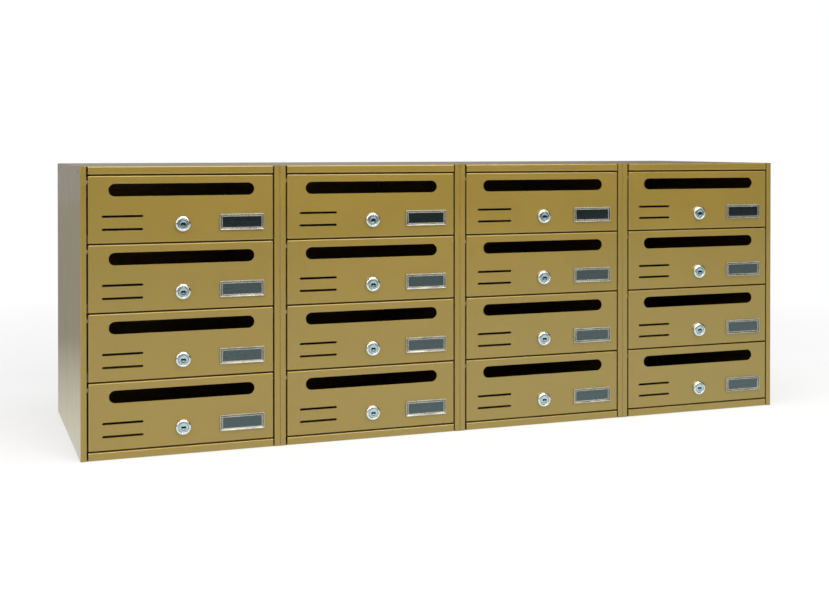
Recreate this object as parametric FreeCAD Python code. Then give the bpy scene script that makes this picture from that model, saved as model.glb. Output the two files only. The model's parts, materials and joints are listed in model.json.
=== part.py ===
import FreeCAD, Part
import math
import os

from FreeCAD import Vector

# A bank of wall letterboxes: columns of folded sheet steel boxes with top-hinged doors.
# Millimetres. X runs along the wall, Y from the front to the wall, Z up.
# The origin is the middle of the underside of the whole bank.

# Layout of the bank
column_count = 4
row_count = 4
cabinet_depth = 360.0
door_width = 259.0
door_height = 93.0
door_gap = 2.0
stile_width = 8.5
rail_height = 11.0

# Folded sheet
sheet = 1.0
bend_inside = 0.5
stile_return = 10.0
rail_return = 9.0
weld_flange = 12.0
corner_relief = 2.0
panel_end_gap = 1.5

# Doors and the shelf lips behind them
door_depth = 10.0
stop_gap = 0.5
lip_height = 12.0

# Door hinge
hinge_below_top = 9.0
hinge_behind_front = 5.0
pin_diameter = 4.0
pin_head_diameter = 7.0
pin_head_length = 1.5
pin_end_length = 2.5
pin_running_clearance = 0.05
washer_diameter = 6.5
washer_end_gap = 0.4

# Mail slot and vent slits
slot_length = 204.0
slot_height = 17.6
slot_below_top = 10.9
vent_length = 56.0
vent_height = 3.2
vent_from_left = 18.5
vent_above_bottom = 19.0
vent_spacing = 18.0
vent_count = 2

# Cam lock
lock_above_bottom = 25.0
bezel_diameter = 22.0
bezel_height = 5.0
bezel_round = 3.2
barrel_diameter = 18.0
barrel_flats = 16.0
plug_diameter = 14.0
plug_recess = 0.6
plug_running_clearance = 0.05
lock_nut_flats = 24.0
lock_nut_thickness = 4.0
keyway_length = 6.4
keyway_height = 1.6
keyway_lobe = 2.8
keyway_depth = 9.0
cam_clearance = 0.8
cam_running_gap = 0.3
cam_thickness = 2.0
cam_hub_diameter = 16.0
cam_width = 10.0
cam_overlap = 6.0
cam_square = 8.0
cam_screw_diameter = 4.0
cam_screw_length = 6.0
cam_screw_head = 9.0
cam_screw_head_height = 2.5

# Name plate
plate_width = 64.0
plate_height = 23.0
plate_depth = 3.0
plate_bevel = 0.8
plate_from_right = 13.5
plate_above_bottom = 26.5
plate_rim = 4.0
plate_ledge = 1.0
window_thickness = 1.2
card_thickness = 0.5
peg_diameter = 2.4
peg_length = 3.0

# Bolts that join the modules through their side panels
joining_bolt_diameter = 5.0
joining_hole_diameter = 5.5
joining_setback = 25.0
joining_below_top = 8.0
joining_bolt_flats = 8.0
joining_head_height = 3.5
joining_nut_thickness = 4.0
joining_thread_end = 1.0
joining_room = 15.0

# Wall screw holes in each back panel
wall_hole_diameter = 7.0
wall_hole_spacing_x = 200.0
wall_hole_spacing_z = 280.0

# Places that follow from the sizes above
bend_outside = bend_inside + sheet
door_left = stile_width + door_gap
door_right = door_left + door_width
module_width = door_right + door_left
module_middle = module_width / 2
row_pitch = door_height + door_gap
module_height = 2 * rail_height + row_count * row_pitch + door_gap
body_depth = cabinet_depth - sheet
bank_left = -column_count * module_width / 2
front_plane = bezel_height - (cabinet_depth + bezel_height) / 2
lip_front = door_depth + stop_gap
lip_back = lip_front + sheet
lip_end = sheet + panel_end_gap
flange_front = joining_setback + joining_room
flange_back = cabinet_depth - joining_setback - joining_room
joining_height = module_height - joining_below_top
joining_depths = (joining_setback, cabinet_depth - joining_setback)
cam_front = lip_back + cam_clearance
cam_back = cam_front + cam_thickness
barrel_end = cam_front - cam_running_gap
cam_reach = lock_above_bottom + (door_gap - sheet) / 2 - lip_height + cam_overlap
plate_middle = door_right - plate_from_right - plate_width / 2


def column_left(column):
    """Left edge of a module, counted from 1 at the left."""
    return bank_left + (column - 1) * module_width


def door_bottom(row):
    """Lower edge of a door, counted from 1 at the top."""
    return rail_height + door_gap + (row_count - row) * row_pitch


def shelf_middle(row):
    """Middle of the gap under a door."""
    return door_bottom(row) - door_gap / 2


def block(x0, x1, y0, y1, z0, z1):
    """Box between two corners."""
    return Part.makeBox(x1 - x0, y1 - y0, z1 - z0, Vector(x0, y0, z0))


def rod_x(diameter, x0, x1, y, z):
    """Cylinder along X."""
    return Part.makeCylinder(diameter / 2, x1 - x0, Vector(x0, y, z), Vector(1, 0, 0))


def rod_y(diameter, y0, y1, x, z):
    """Cylinder along Y."""
    return Part.makeCylinder(diameter / 2, y1 - y0, Vector(x, y0, z), Vector(0, 1, 0))


def hexagon(flats, direction, length, start):
    """Hexagonal prism that starts at a point and runs along a unit direction."""
    radius = flats / math.sqrt(3)
    across = Vector(0, 0, 1)
    side = direction.cross(across)
    points = []
    for corner in range(7):
        angle = math.radians(60 * corner)
        points.append(start + side * (radius * math.cos(angle)) + across * (radius * math.sin(angle)))
    return Part.Face(Part.makePolygon(points)).extrude(direction * length)


def obround(length, height, x, z, y0, y1):
    """Bar along Y with a round-ended section that lies along X."""
    radius = height / 2
    reach = length / 2 - radius
    bar = block(x - reach, x + reach, y0, y1, z - radius, z + radius)
    ends = [rod_y(height, y0, y1, x - reach, z), rod_y(height, y0, y1, x + reach, z)]
    return fused([bar] + ends)


def fused(shapes):
    """One solid from touching shapes, with the seams between coplanar faces removed."""
    return shapes[0].fuse(shapes[1:]).removeSplitter()


def lies_on(edge, line):
    """True when an edge lies on a line given by two of its coordinates."""
    limits = edge.BoundBox
    spans = {"x": (limits.XMin, limits.XMax), "y": (limits.YMin, limits.YMax), "z": (limits.ZMin, limits.ZMax)}
    for name, place in line.items():
        low, high = spans[name]
        if abs(low - place) > 1e-4 or abs(high - place) > 1e-4:
            return False
    return True


def folded(shape, outside_lines, inside_lines):
    """Round the outer and inner edges of the folds that lie on the given lines."""
    outer = [edge for edge in shape.Edges if any(lies_on(edge, line) for line in outside_lines)]
    rounded = shape.makeFillet(bend_outside, outer)
    inner = [edge for edge in rounded.Edges if any(lies_on(edge, line) for line in inside_lines)]
    return rounded.makeFillet(bend_inside, inner)


def rounded_tray(x0, x1, y0, y1, z0, z1, radius):
    """Box whose front edges and corners along Y are rounded."""
    solid = block(x0, x1, y0, y1, z0, z1)
    edges = []
    for edge in solid.Edges:
        at_back = edge.BoundBox.YMin > y1 - 1e-4
        if not at_back:
            edges.append(edge)
    return solid.makeFillet(radius, edges)


def mirrored(shape):
    """Mirror image across the middle of a module."""
    return shape.mirror(Vector(module_middle, 0, 0), Vector(1, 0, 0))


def left_side_panel():
    """Side sheet with the front stile, its return and a rear flange turned inwards."""
    panel = fused([
        block(0, sheet, 0, body_depth, 0, module_height),
        block(0, stile_width, 0, sheet, 0, module_height),
        block(stile_width - sheet, stile_width, 0, stile_return, 0, module_height),
        block(0, weld_flange, body_depth - sheet, body_depth, 0, module_height),
    ])
    panel = folded(
        panel,
        [{"x": 0, "y": 0}, {"x": stile_width, "y": 0}, {"x": 0, "y": body_depth}],
        [
            {"x": sheet, "y": sheet},
            {"x": stile_width - sheet, "y": sheet},
            {"x": sheet, "y": body_depth - sheet},
        ],
    )
    cuts = [
        block(sheet, module_middle, sheet, cabinet_depth, 0, sheet),
        block(sheet, module_middle, sheet, cabinet_depth, module_height - sheet, module_height),
    ]
    for row in range(1, row_count + 1):
        hinge = door_bottom(row) + door_height - hinge_below_top
        cuts.append(rod_x(pin_diameter, sheet, door_left, hinge_behind_front, hinge))
    for depth in joining_depths:
        cuts.append(rod_x(joining_hole_diameter, -sheet, 2 * sheet, depth, joining_height))
    return panel.cut(cuts)


def side_flanges(z0, z1):
    """Two flanges that lie against the side panels."""
    left = block(sheet, 2 * sheet, flange_front, flange_back, z0, z1)
    return [left, mirrored(left)]


def front_strip(y1, z0, z1):
    """Bar across the front, as wide as a door."""
    return block(door_left, door_right, 0, y1, z0, z1)


def rear_flange(z0, z1):
    """Flange across the back, between the flanges of the side panels."""
    end = weld_flange + panel_end_gap
    return block(end, module_width - end, body_depth - sheet, body_depth, z0, z1)


def top_panel():
    """Top sheet with the front rail, its return and flanges turned down."""
    top = module_height
    rail_bottom = top - rail_height
    under = top - weld_flange
    panel = fused([
        block(sheet, module_width - sheet, corner_relief, body_depth, top - sheet, top),
        front_strip(corner_relief, top - sheet, top),
        front_strip(sheet, rail_bottom, top),
        front_strip(rail_return, rail_bottom, rail_bottom + sheet),
        rear_flange(under, top),
    ] + side_flanges(under, top))
    return folded(
        panel,
        [{"y": 0, "z": top}, {"y": 0, "z": rail_bottom}],
        [{"y": sheet, "z": top - sheet}, {"y": sheet, "z": rail_bottom + sheet}],
    )


def bottom_panel():
    """Base sheet with the front rail, its return, the stop lip and flanges turned up."""
    ledge = rail_height - sheet
    lip_top = shelf_middle(row_count) + sheet / 2 + lip_height
    panel = fused([
        block(sheet, module_width - sheet, corner_relief, body_depth, 0, sheet),
        front_strip(corner_relief, 0, sheet),
        front_strip(sheet, 0, rail_height),
        front_strip(lip_back, ledge, rail_height),
        block(door_left, door_right, lip_front, lip_back, ledge, lip_top),
        rear_flange(0, weld_flange),
    ] + side_flanges(0, weld_flange))
    return folded(
        panel,
        [{"y": 0, "z": 0}, {"y": 0, "z": rail_height}, {"y": lip_back, "z": ledge}],
        [{"y": sheet, "z": sheet}, {"y": sheet, "z": ledge}, {"y": lip_front, "z": rail_height}],
    )


def back_panel():
    """Flat back sheet with a hole for a wall screw near each corner."""
    panel = block(0, module_width, body_depth, cabinet_depth, 0, module_height)
    holes = []
    for across in (-1, 1):
        for up in (-1, 1):
            x = module_middle + across * wall_hole_spacing_x / 2
            z = module_height / 2 + up * wall_hole_spacing_z / 2
            holes.append(rod_y(wall_hole_diameter, body_depth - sheet, cabinet_depth + sheet, x, z))
    return panel.cut(holes)


def shelf():
    """Shelf sheet about z = 0 with the stop lip turned up and side flanges turned down."""
    half = sheet / 2
    panel = fused([
        block(sheet, module_width - sheet, lip_front + corner_relief, body_depth - sheet, -half, half),
        block(lip_end, module_width - lip_end, lip_front, lip_front + corner_relief, -half, half),
        block(lip_end, module_width - lip_end, lip_front, lip_back, -half, half + lip_height),
    ] + side_flanges(half - weld_flange, half))
    return folded(
        panel,
        [{"y": lip_front, "z": -half}],
        [{"y": lip_back, "z": half}],
    )


def left_hinge_pin():
    """Headed pin pressed through the stile's return, about z = 0."""
    head_end = stile_width - sheet
    head_start = head_end - pin_head_length
    shank_end = door_left + sheet + pin_end_length
    head = rod_x(pin_head_diameter, head_start, head_end, hinge_behind_front, 0)
    shank = rod_x(pin_diameter, head_start, shank_end, hinge_behind_front, 0)
    return fused([head, shank])


def hinge_washer():
    """Washer on the left pin, between the stile and the door, about z = 0."""
    end = door_left - washer_end_gap
    ring = rod_x(washer_diameter, stile_width, end, hinge_behind_front, 0)
    return ring.cut(rod_x(pin_diameter, stile_width, end, hinge_behind_front, 0))


def joining_bolt():
    """Bolt through the seam at x = 0, with its head in the right-hand module, about y = z = 0."""
    head = hexagon(joining_bolt_flats, Vector(1, 0, 0), joining_head_height, Vector(sheet, 0, 0))
    shank_start = -sheet - joining_nut_thickness - joining_thread_end
    shank = rod_x(joining_bolt_diameter, shank_start, sheet + joining_head_height, 0, 0)
    return fused([head, shank])


def joining_nut():
    """Nut on the joining bolt, in the left-hand module, about y = z = 0."""
    nut = hexagon(joining_bolt_flats, Vector(-1, 0, 0), joining_nut_thickness, Vector(-sheet, 0, 0))
    bore = rod_x(joining_bolt_diameter, -sheet - joining_nut_thickness, -sheet, 0, 0)
    return nut.cut(bore)


def lock_hole():
    """Round bar with two flats, the section of the lock barrel."""
    bar = rod_y(barrel_diameter, 0, barrel_end, module_middle, lock_above_bottom)
    flats = block(
        module_middle - barrel_diameter,
        module_middle + barrel_diameter,
        0,
        barrel_end,
        lock_above_bottom - barrel_flats / 2,
        lock_above_bottom + barrel_flats / 2,
    )
    return bar.common(flats)


def peg_places():
    """Middle of each name plate peg along X."""
    reach = plate_width / 2 - (plate_rim - plate_ledge) / 2
    return [plate_middle - reach, plate_middle + reach]


def door_panel():
    """Folded door pan with its slot, vents and holes, standing on z = 0."""
    pan = rounded_tray(door_left, door_right, 0, door_depth, 0, door_height, bend_outside)
    hollow = rounded_tray(
        door_left + sheet,
        door_right - sheet,
        sheet,
        door_depth + sheet,
        sheet,
        door_height - sheet,
        bend_inside,
    )
    slot_middle = door_height - slot_below_top - slot_height / 2
    cuts = [hollow, lock_hole()]
    cuts.append(obround(slot_length, slot_height, module_middle, slot_middle, -sheet, 2 * sheet))
    for vent in range(vent_count):
        x = door_left + vent_from_left + vent_length / 2
        z = vent_above_bottom + vent * vent_spacing
        cuts.append(obround(vent_length, vent_height, x, z, -sheet, 2 * sheet))
    for x in peg_places():
        cuts.append(rod_y(peg_diameter, -sheet, 2 * sheet, x, plate_above_bottom))
    hinge = door_height - hinge_below_top
    bore = pin_diameter + 2 * pin_running_clearance
    cuts.append(rod_x(bore, door_left - sheet, door_left + 2 * sheet, hinge_behind_front, hinge))
    cuts.append(rod_x(bore, door_right - 2 * sheet, door_right + sheet, hinge_behind_front, hinge))
    return pan.cut(cuts)


def lock_body():
    """Domed bezel in front of the door and a barrel with two flats behind it."""
    bore = plug_diameter + 2 * plug_running_clearance
    bezel = rod_y(bezel_diameter, -bezel_height, 0, module_middle, lock_above_bottom)
    front_edges = [edge for edge in bezel.Edges if lies_on(edge, {"y": -bezel_height})]
    bezel = bezel.makeFillet(bezel_round, front_edges)
    core_hole = rod_y(bore, -bezel_height, barrel_end, module_middle, lock_above_bottom)
    return fused([bezel, lock_hole()]).cut(core_hole)


def lock_nut():
    """Hexagon nut on the lock barrel, tight against the back of the door."""
    start = Vector(module_middle, sheet, lock_above_bottom)
    nut = hexagon(lock_nut_flats, Vector(0, 1, 0), lock_nut_thickness, start)
    bore = rod_y(barrel_diameter, sheet, sheet + lock_nut_thickness, module_middle, lock_above_bottom)
    return nut.cut(bore)


def lock_plug():
    """Turning plug with a keyway in front and a square post behind."""
    x = module_middle
    z = lock_above_bottom
    face = plug_recess - bezel_height
    half = cam_square / 2
    plug = fused([
        rod_y(plug_diameter, face, cam_front, x, z),
        block(x - half, x + half, cam_front, cam_back, z - half, z + half),
    ])
    lobe = (keyway_length - keyway_lobe) / 2
    keyway_end = face + keyway_depth
    cuts = [
        block(x - lobe, x + lobe, face, keyway_end, z - keyway_height / 2, z + keyway_height / 2),
        rod_y(keyway_lobe, face, keyway_end, x - lobe, z),
        rod_y(keyway_lobe, face, keyway_end, x + lobe, z),
        rod_y(cam_screw_diameter, cam_back - cam_screw_length, cam_back, x, z),
    ]
    return plug.cut(cuts)


def lock_cam():
    """Flat cam on the plug's post, pointing to the right when unlocked."""
    x = module_middle
    z = lock_above_bottom
    half = cam_square / 2
    tip = cam_reach - cam_width / 2
    cam = fused([
        rod_y(cam_hub_diameter, cam_front, cam_back, x, z),
        block(x, x + tip, cam_front, cam_back, z - cam_width / 2, z + cam_width / 2),
        rod_y(cam_width, cam_front, cam_back, x + tip, z),
    ])
    return cam.cut(block(x - half, x + half, cam_front, cam_back, z - half, z + half))


def cam_screw():
    """Screw that holds the cam on the plug."""
    x = module_middle
    z = lock_above_bottom
    head = rod_y(cam_screw_head, cam_back, cam_back + cam_screw_head_height, x, z)
    shank = rod_y(cam_screw_diameter, cam_back - cam_screw_length, cam_back, x, z)
    return fused([head, shank])


def plate_block(inset, y0, y1):
    """Block behind the name plate's outline, drawn in by an inset on all four sides."""
    return block(
        plate_middle - plate_width / 2 + inset,
        plate_middle + plate_width / 2 - inset,
        y0,
        y1,
        plate_above_bottom - plate_height / 2 + inset,
        plate_above_bottom + plate_height / 2 - inset,
    )


def plate_frame():
    """Bevelled frame with two pegs through the door and a pocket for window and card."""
    outline = plate_block(0, -plate_depth, 0)
    front_edges = [edge for edge in outline.Edges if lies_on(edge, {"y": -plate_depth})]
    frame = outline.makeChamfer(plate_bevel, front_edges)
    pegs = [rod_y(peg_diameter, 0, peg_length, x, plate_above_bottom) for x in peg_places()]
    pocket = plate_block(plate_rim - plate_ledge, -window_thickness - card_thickness, 0)
    view = plate_block(plate_rim, -plate_depth, 0)
    return fused([frame.cut([pocket, view])] + pegs)


def plate_window():
    """Clear window held behind the ledge of the frame."""
    return plate_block(plate_rim - plate_ledge, -window_thickness - card_thickness, -card_thickness)


def plate_card():
    """Blank card between the window and the door."""
    return plate_block(plate_rim - plate_ledge, -card_thickness, 0)


def placed(shapes, column, height):
    """Copies of shapes moved from a module's own corner to their place in the bank."""
    move = Vector(column_left(column), front_plane, height)
    return [shape.translated(move) for shape in shapes]


def save(name, shapes):
    """Write one sub-part to its own file."""
    Part.makeCompound(shapes).exportStep("parts/" + name + ".step")


def save_in_columns(name, shapes):
    """Write the same shapes in every module as one sub-part."""
    copies = []
    for column in range(1, column_count + 1):
        copies += placed(shapes, column, 0)
    save(name, copies)


def save_cabinet():
    """Panels of every module."""
    side = left_side_panel()
    save_in_columns("side_panels_left", [side])
    save_in_columns("side_panels_right", [mirrored(side)])
    save_in_columns("top_panels", [top_panel()])
    save_in_columns("bottom_panels", [bottom_panel()])
    save_in_columns("back_panels", [back_panel()])
    plain_shelf = shelf()
    for row in range(1, row_count):
        level = plain_shelf.translated(Vector(0, 0, shelf_middle(row)))
        save_in_columns("shelves_under_row_" + str(row), [level])


def save_hinges():
    """Pins on both sides of every door, and the washers on the left."""
    left_pin = left_hinge_pin()
    pins = []
    washers = []
    for row in range(1, row_count + 1):
        up = Vector(0, 0, door_bottom(row) + door_height - hinge_below_top)
        pins += [left_pin.translated(up), mirrored(left_pin).translated(up)]
        washers.append(hinge_washer().translated(up))
    save_in_columns("hinge_pins", pins)
    save_in_columns("hinge_washers", washers)


def save_joining_fasteners():
    """Bolts and nuts at every seam between two modules."""
    bolts = []
    nuts = []
    for column in range(2, column_count + 1):
        for depth in joining_depths:
            move = Vector(column_left(column), front_plane + depth, joining_height)
            bolts.append(joining_bolt().translated(move))
            nuts.append(joining_nut().translated(move))
    save("joining_bolts", bolts)
    save("joining_nuts", nuts)


def save_doors():
    """Door, its fixed fittings and its turning lock core, for every box."""
    panel = [door_panel()]
    fittings = [lock_body(), lock_nut(), plate_frame(), plate_window(), plate_card()]
    core = [lock_plug(), lock_cam(), cam_screw()]
    for row in range(1, row_count + 1):
        for column in range(1, column_count + 1):
            place = "_r" + str(row) + "c" + str(column)
            save("door_panel" + place, placed(panel, column, door_bottom(row)))
            save("door_fittings" + place, placed(fittings, column, door_bottom(row)))
            save("lock_core" + place, placed(core, column, door_bottom(row)))


os.makedirs("parts", exist_ok=True)
save_cabinet()
save_hinges()
save_joining_fasteners()
save_doors()
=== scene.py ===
"""Studio scene of a bank of gold wall letterboxes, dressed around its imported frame."""

import json
import logging
import math
from dataclasses import dataclass
from enum import Enum
from typing import ClassVar, Sequence, Union

import bmesh
import bpy
from mathutils import Matrix, Vector


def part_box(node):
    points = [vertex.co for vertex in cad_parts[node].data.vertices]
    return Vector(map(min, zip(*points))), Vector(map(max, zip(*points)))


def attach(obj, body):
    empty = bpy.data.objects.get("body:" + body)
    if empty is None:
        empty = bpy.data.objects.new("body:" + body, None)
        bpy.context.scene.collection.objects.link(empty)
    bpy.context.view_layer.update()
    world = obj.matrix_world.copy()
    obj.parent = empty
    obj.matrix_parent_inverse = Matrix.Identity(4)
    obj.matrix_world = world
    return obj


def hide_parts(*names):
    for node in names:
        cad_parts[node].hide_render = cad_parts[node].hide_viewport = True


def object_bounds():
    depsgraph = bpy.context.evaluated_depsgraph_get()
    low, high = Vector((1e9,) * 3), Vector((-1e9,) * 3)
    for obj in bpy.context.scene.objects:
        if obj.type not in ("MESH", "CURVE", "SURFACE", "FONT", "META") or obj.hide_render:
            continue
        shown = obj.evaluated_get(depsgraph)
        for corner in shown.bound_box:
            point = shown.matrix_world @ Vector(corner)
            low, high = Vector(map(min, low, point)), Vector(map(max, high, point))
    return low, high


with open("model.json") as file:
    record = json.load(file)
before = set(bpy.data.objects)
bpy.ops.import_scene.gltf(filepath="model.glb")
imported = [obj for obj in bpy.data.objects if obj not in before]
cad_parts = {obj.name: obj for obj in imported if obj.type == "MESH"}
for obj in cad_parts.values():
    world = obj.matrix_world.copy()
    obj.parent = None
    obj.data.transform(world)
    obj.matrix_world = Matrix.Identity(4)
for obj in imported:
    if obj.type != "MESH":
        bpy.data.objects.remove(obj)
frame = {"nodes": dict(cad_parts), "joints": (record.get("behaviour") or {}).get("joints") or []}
CAD_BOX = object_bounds()

log = logging.getLogger("letterboxes")

Colour = tuple[float, float, float]
Pair = tuple[float, float]
Outline = list[Pair]
Shell = bmesh.types.BMesh
Piece = bpy.types.Object
NodeSocket = bpy.types.NodeSocket
Feed = Union[NodeSocket, float, tuple]

MM = 0.001
ROWS = 4
COLUMNS = 4
WHITE = (1.0, 1.0, 1.0)
RADIUS_ATTRIBUTE = "radius"

# Points nearer than these are one point, in a new mesh and in a cut or packed one.
SAME_POINT = 1e-7
FALLEN_TOGETHER = 1e-6

# Least angle in degrees between two faces that makes a sharp edge, and the profile of a round one.
EDGE_ANGLE = 50.0
ROUND_EDGE = 0.5

# Steps round the pieces that fit into each other, and in each round corner of the name plates.
LOCK_STEPS = 48
PEG_STEPS = 24
PIN_STEPS = 32
CORNER_STEPS = 4


class Axis(Enum):
    """Axis of the frame that a piece is turned about."""

    X = "X"
    Y = "Y"


class SocketKind(Enum):
    """What a node group takes in or gives out."""

    COLOUR = "NodeSocketColor"
    NUMBER = "NodeSocketFloat"
    COUNT = "NodeSocketInt"
    STEP = "NodeSocketVector"
    PIECE = "NodeSocketObject"
    FINISH = "NodeSocketMaterial"
    MESH = "NodeSocketGeometry"


class LampJob(Enum):
    """Lamps of the studio, by their job."""

    KEY = "key_light"
    FILL = "fill_light"
    SIDE = "side_light"
    TOP = "top_light"


# Outlines and profiles


def arc(centre: Pair, radius: float, start: float, sweep: float, steps: int) -> Outline:
    """Points along an arc, with both of its ends.

    Args:
        centre: Middle of the arc.
        radius: Radius of the arc.
        start: Angle of the first point.
        sweep: Angle from the first point to the last.
        steps: Segments of the arc.

    Returns:
        One point more than there are steps.
    """
    angles = [start + sweep * step / steps for step in range(steps + 1)]
    return [(centre[0] + radius * math.cos(angle), centre[1] + radius * math.sin(angle)) for angle in angles]


def rounded_rectangle(width: float, height: float, radius: float) -> Outline:
    """Outline of a rectangle with round corners, centred on the origin.

    Args:
        width: Size along the first direction.
        height: Size along the second direction.
        radius: Corner radius.

    Returns:
        Points of the outline, counter-clockwise.
    """
    points = []
    for quarter, (across, up) in enumerate(((1, 1), (-1, 1), (-1, -1), (1, -1))):
        centre = (across * (width / 2 - radius), up * (height / 2 - radius))
        points += arc(centre, radius, math.pi / 2 * quarter, math.pi / 2, CORNER_STEPS)
    return points


def stadium(length: float, height: float, steps: int) -> Outline:
    """Outline with round ends that lies along X, centred on the origin.

    Args:
        length: End to end length.
        height: Height, twice the end radius.
        steps: Segments in each round end.

    Returns:
        Points of the outline, in order.
    """
    points = []
    for side in (1, -1):
        centre = (side * (length - height) / 2, 0.0)
        points += arc(centre, height / 2, side * math.pi / 2, -math.pi, steps)
    return points


def regular(count: int, radius: float) -> Outline:
    """Corners of a regular polygon centred on the origin."""
    return arc((0.0, 0.0), radius, 0.0, 2 * math.pi, count)[:-1]


def hexagon(flats: float) -> Outline:
    """Corners of a hexagon, by the distance across its flats."""
    return regular(6, flats / math.sqrt(3))


def rectangle(half_width: float, half_height: float) -> Outline:
    """Corners of a plain rectangle centred on the origin."""
    signs = ((-1, -1), (1, -1), (1, 1), (-1, 1))
    return [(across * half_width, up * half_height) for across, up in signs]


def rod(radius: float, start: float, end: float) -> Outline:
    """Profile of a plain closed rod."""
    return [(0.0, start), (radius, start), (radius, end), (0.0, end)]


def thread(root: float, crest: float, start: float, end: float, pitch: float) -> Outline:
    """Profile of a thread's ridges.

    Args:
        root: Radius between the ridges.
        crest: Radius on the ridges.
        start: Place along the axis of the first ridge's foot.
        end: Place along the axis that no ridge starts behind.
        pitch: Distance from ridge to ridge.

    Returns:
        Foot and crest of each ridge, in order.
    """
    points = []
    while start < end:
        points += [(root, start), (crest, start + pitch / 2)]
        start += pitch
    return points


# Meshes under construction


def bridge_rings(bm: Shell, first: list, second: list) -> None:
    """Join two rings of a turned or framed piece with faces.

    Args:
        bm: Mesh that holds both rings.
        first: Vertices of one ring, or its single point on the axis.
        second: Vertices of the next ring, or its single point on the axis.
    """
    count = max(len(first), len(second))
    for step in range(count):
        following = (step + 1) % count
        corners = [
            first[step % len(first)],
            first[following % len(first)],
            second[following % len(second)],
            second[step % len(second)],
        ]
        unique = list(dict.fromkeys(corners))
        if len(unique) > 2:
            bm.faces.new(unique)


def turned(profile: Outline, axis: Axis, segments: int) -> Shell:
    """Turn a profile about an axis through the origin.

    Args:
        profile: Radius and place along the axis of each point, in order. A radius of zero closes an end.
        axis: Axis of the turn.
        segments: Steps in a full turn.

    Returns:
        A mesh whose rings follow the profile, with each point's radius in an attribute.
    """
    bm = bmesh.new()
    layer = bm.verts.layers.float.new(RADIUS_ATTRIBUTE)
    rings = []
    for radius, along in profile:
        ring = []
        for step in range(segments if radius > SAME_POINT else 1):
            angle = 2 * math.pi * step / segments
            across, up = radius * math.cos(angle), radius * math.sin(angle)
            vert = bm.verts.new((along, across, up) if axis is Axis.X else (across, along, up))
            vert[layer] = radius
            ring.append(vert)
        rings.append(ring)
    for first, second in zip(rings, rings[1:]):
        bridge_rings(bm, first, second)
    bmesh.ops.remove_doubles(bm, verts=bm.verts, dist=SAME_POINT)
    bmesh.ops.recalc_face_normals(bm, faces=bm.faces)
    return bm


def framed(width: float, height: float, corner: float, profile: Outline) -> Shell:
    """Run a closed rim profile round a rectangle that faces the front.

    Args:
        width: Outer width along X.
        height: Outer height along Z.
        corner: Outer corner radius, which falls to a quarter inside the rim.
        profile: Inset from the outside and place along Y of each point of the rim, in order.

    Returns:
        The closed rim, centred on the origin.
    """
    bm = bmesh.new()
    rings = []
    for inset, depth in profile:
        radius = max(corner - inset, corner / 4)
        outline = rounded_rectangle(width - 2 * inset, height - 2 * inset, radius)
        rings.append([bm.verts.new((x, depth, z)) for x, z in outline])
    for first, second in zip(rings, rings[1:] + rings[:1]):
        bridge_rings(bm, first, second)
    bmesh.ops.recalc_face_normals(bm, faces=bm.faces)
    return bm


def prism(outline: Outline, start: float, end: float) -> Shell:
    """Extrude an outline in the front plane along Y.

    Args:
        outline: X and Z of each corner, in order.
        start: Place of the first cap along Y.
        end: Place of the second cap along Y.

    Returns:
        The closed prism.
    """
    bm = bmesh.new()
    near, far = ([bm.verts.new((x, depth, z)) for x, z in outline] for depth in (start, end))
    bm.faces.new(near)
    bm.faces.new(far)
    bridge_rings(bm, near, far)
    bmesh.ops.recalc_face_normals(bm, faces=bm.faces)
    return bm


def bevelled(bm: Shell, edges: list, width: float, steps: int) -> None:
    """Round some edges of a mesh.

    Args:
        bm: Mesh that holds the edges.
        edges: Edges to round.
        width: How far the round starts from the edge.
        steps: Segments across the round.
    """
    bmesh.ops.bevel(
        bm, geom=edges, offset=width, offset_type="OFFSET", segments=steps, profile=ROUND_EDGE, affect="EDGES"
    )


def along_x(bm: Shell) -> Shell:
    """Turn a mesh that points along +Y to point along +X, and give it back."""
    bmesh.ops.rotate(bm, verts=bm.verts, matrix=Matrix.Rotation(-math.pi / 2, 3, "Z"))
    return bm


def moved(bm: Shell, x: float = 0.0, y: float = 0.0, z: float = 0.0) -> Shell:
    """Shift a mesh in place and give it back."""
    bmesh.ops.translate(bm, verts=bm.verts, vec=(x, y, z))
    return bm


def merged(parts: Sequence[Shell]) -> Shell:
    """Put several separate shells into one mesh.

    Args:
        parts: Meshes to take over; they are freed.

    Returns:
        One mesh with all the shells.
    """
    whole = bmesh.new()
    for part in parts:
        shell = bpy.data.meshes.new("shell")
        part.to_mesh(shell)
        part.free()
        whole.from_mesh(shell)
        bpy.data.meshes.remove(shell)
    return whole


# Pieces as objects


def placed(mesh: bpy.types.Mesh, name: str) -> Piece:
    """Put a mesh into the scene as an object at the origin.

    Args:
        mesh: Mesh of the piece.
        name: Name of the piece.

    Returns:
        The new object.
    """
    piece = bpy.data.objects.new(name, mesh)
    bpy.context.collection.objects.link(piece)
    return piece


def as_object(bm: Shell, name: str) -> Piece:
    """Turn a mesh under construction into a scene object at the origin.

    Args:
        bm: Mesh to take over; it is freed.
        name: Name of the piece.

    Returns:
        The new object.
    """
    mesh = bpy.data.meshes.new(name)
    bm.to_mesh(mesh)
    bm.free()
    return placed(mesh, name)


def copied(template: Piece, name: str, place: Vector) -> Piece:
    """Copy a template to its place, with the place in the mesh.

    Args:
        template: Finished piece about the origin.
        name: Name of the copy.
        place: Shift from the origin.

    Returns:
        The new object, at the origin itself.
    """
    mesh = template.data.copy()
    mesh.name = name
    mesh.transform(Matrix.Translation(place))
    return placed(mesh, name)


def discard(piece: Piece) -> None:
    """Remove a helper object and its mesh.

    Args:
        piece: Object that isn't needed any more.
    """
    mesh = piece.data
    bpy.data.objects.remove(piece)
    bpy.data.meshes.remove(mesh)


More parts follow.
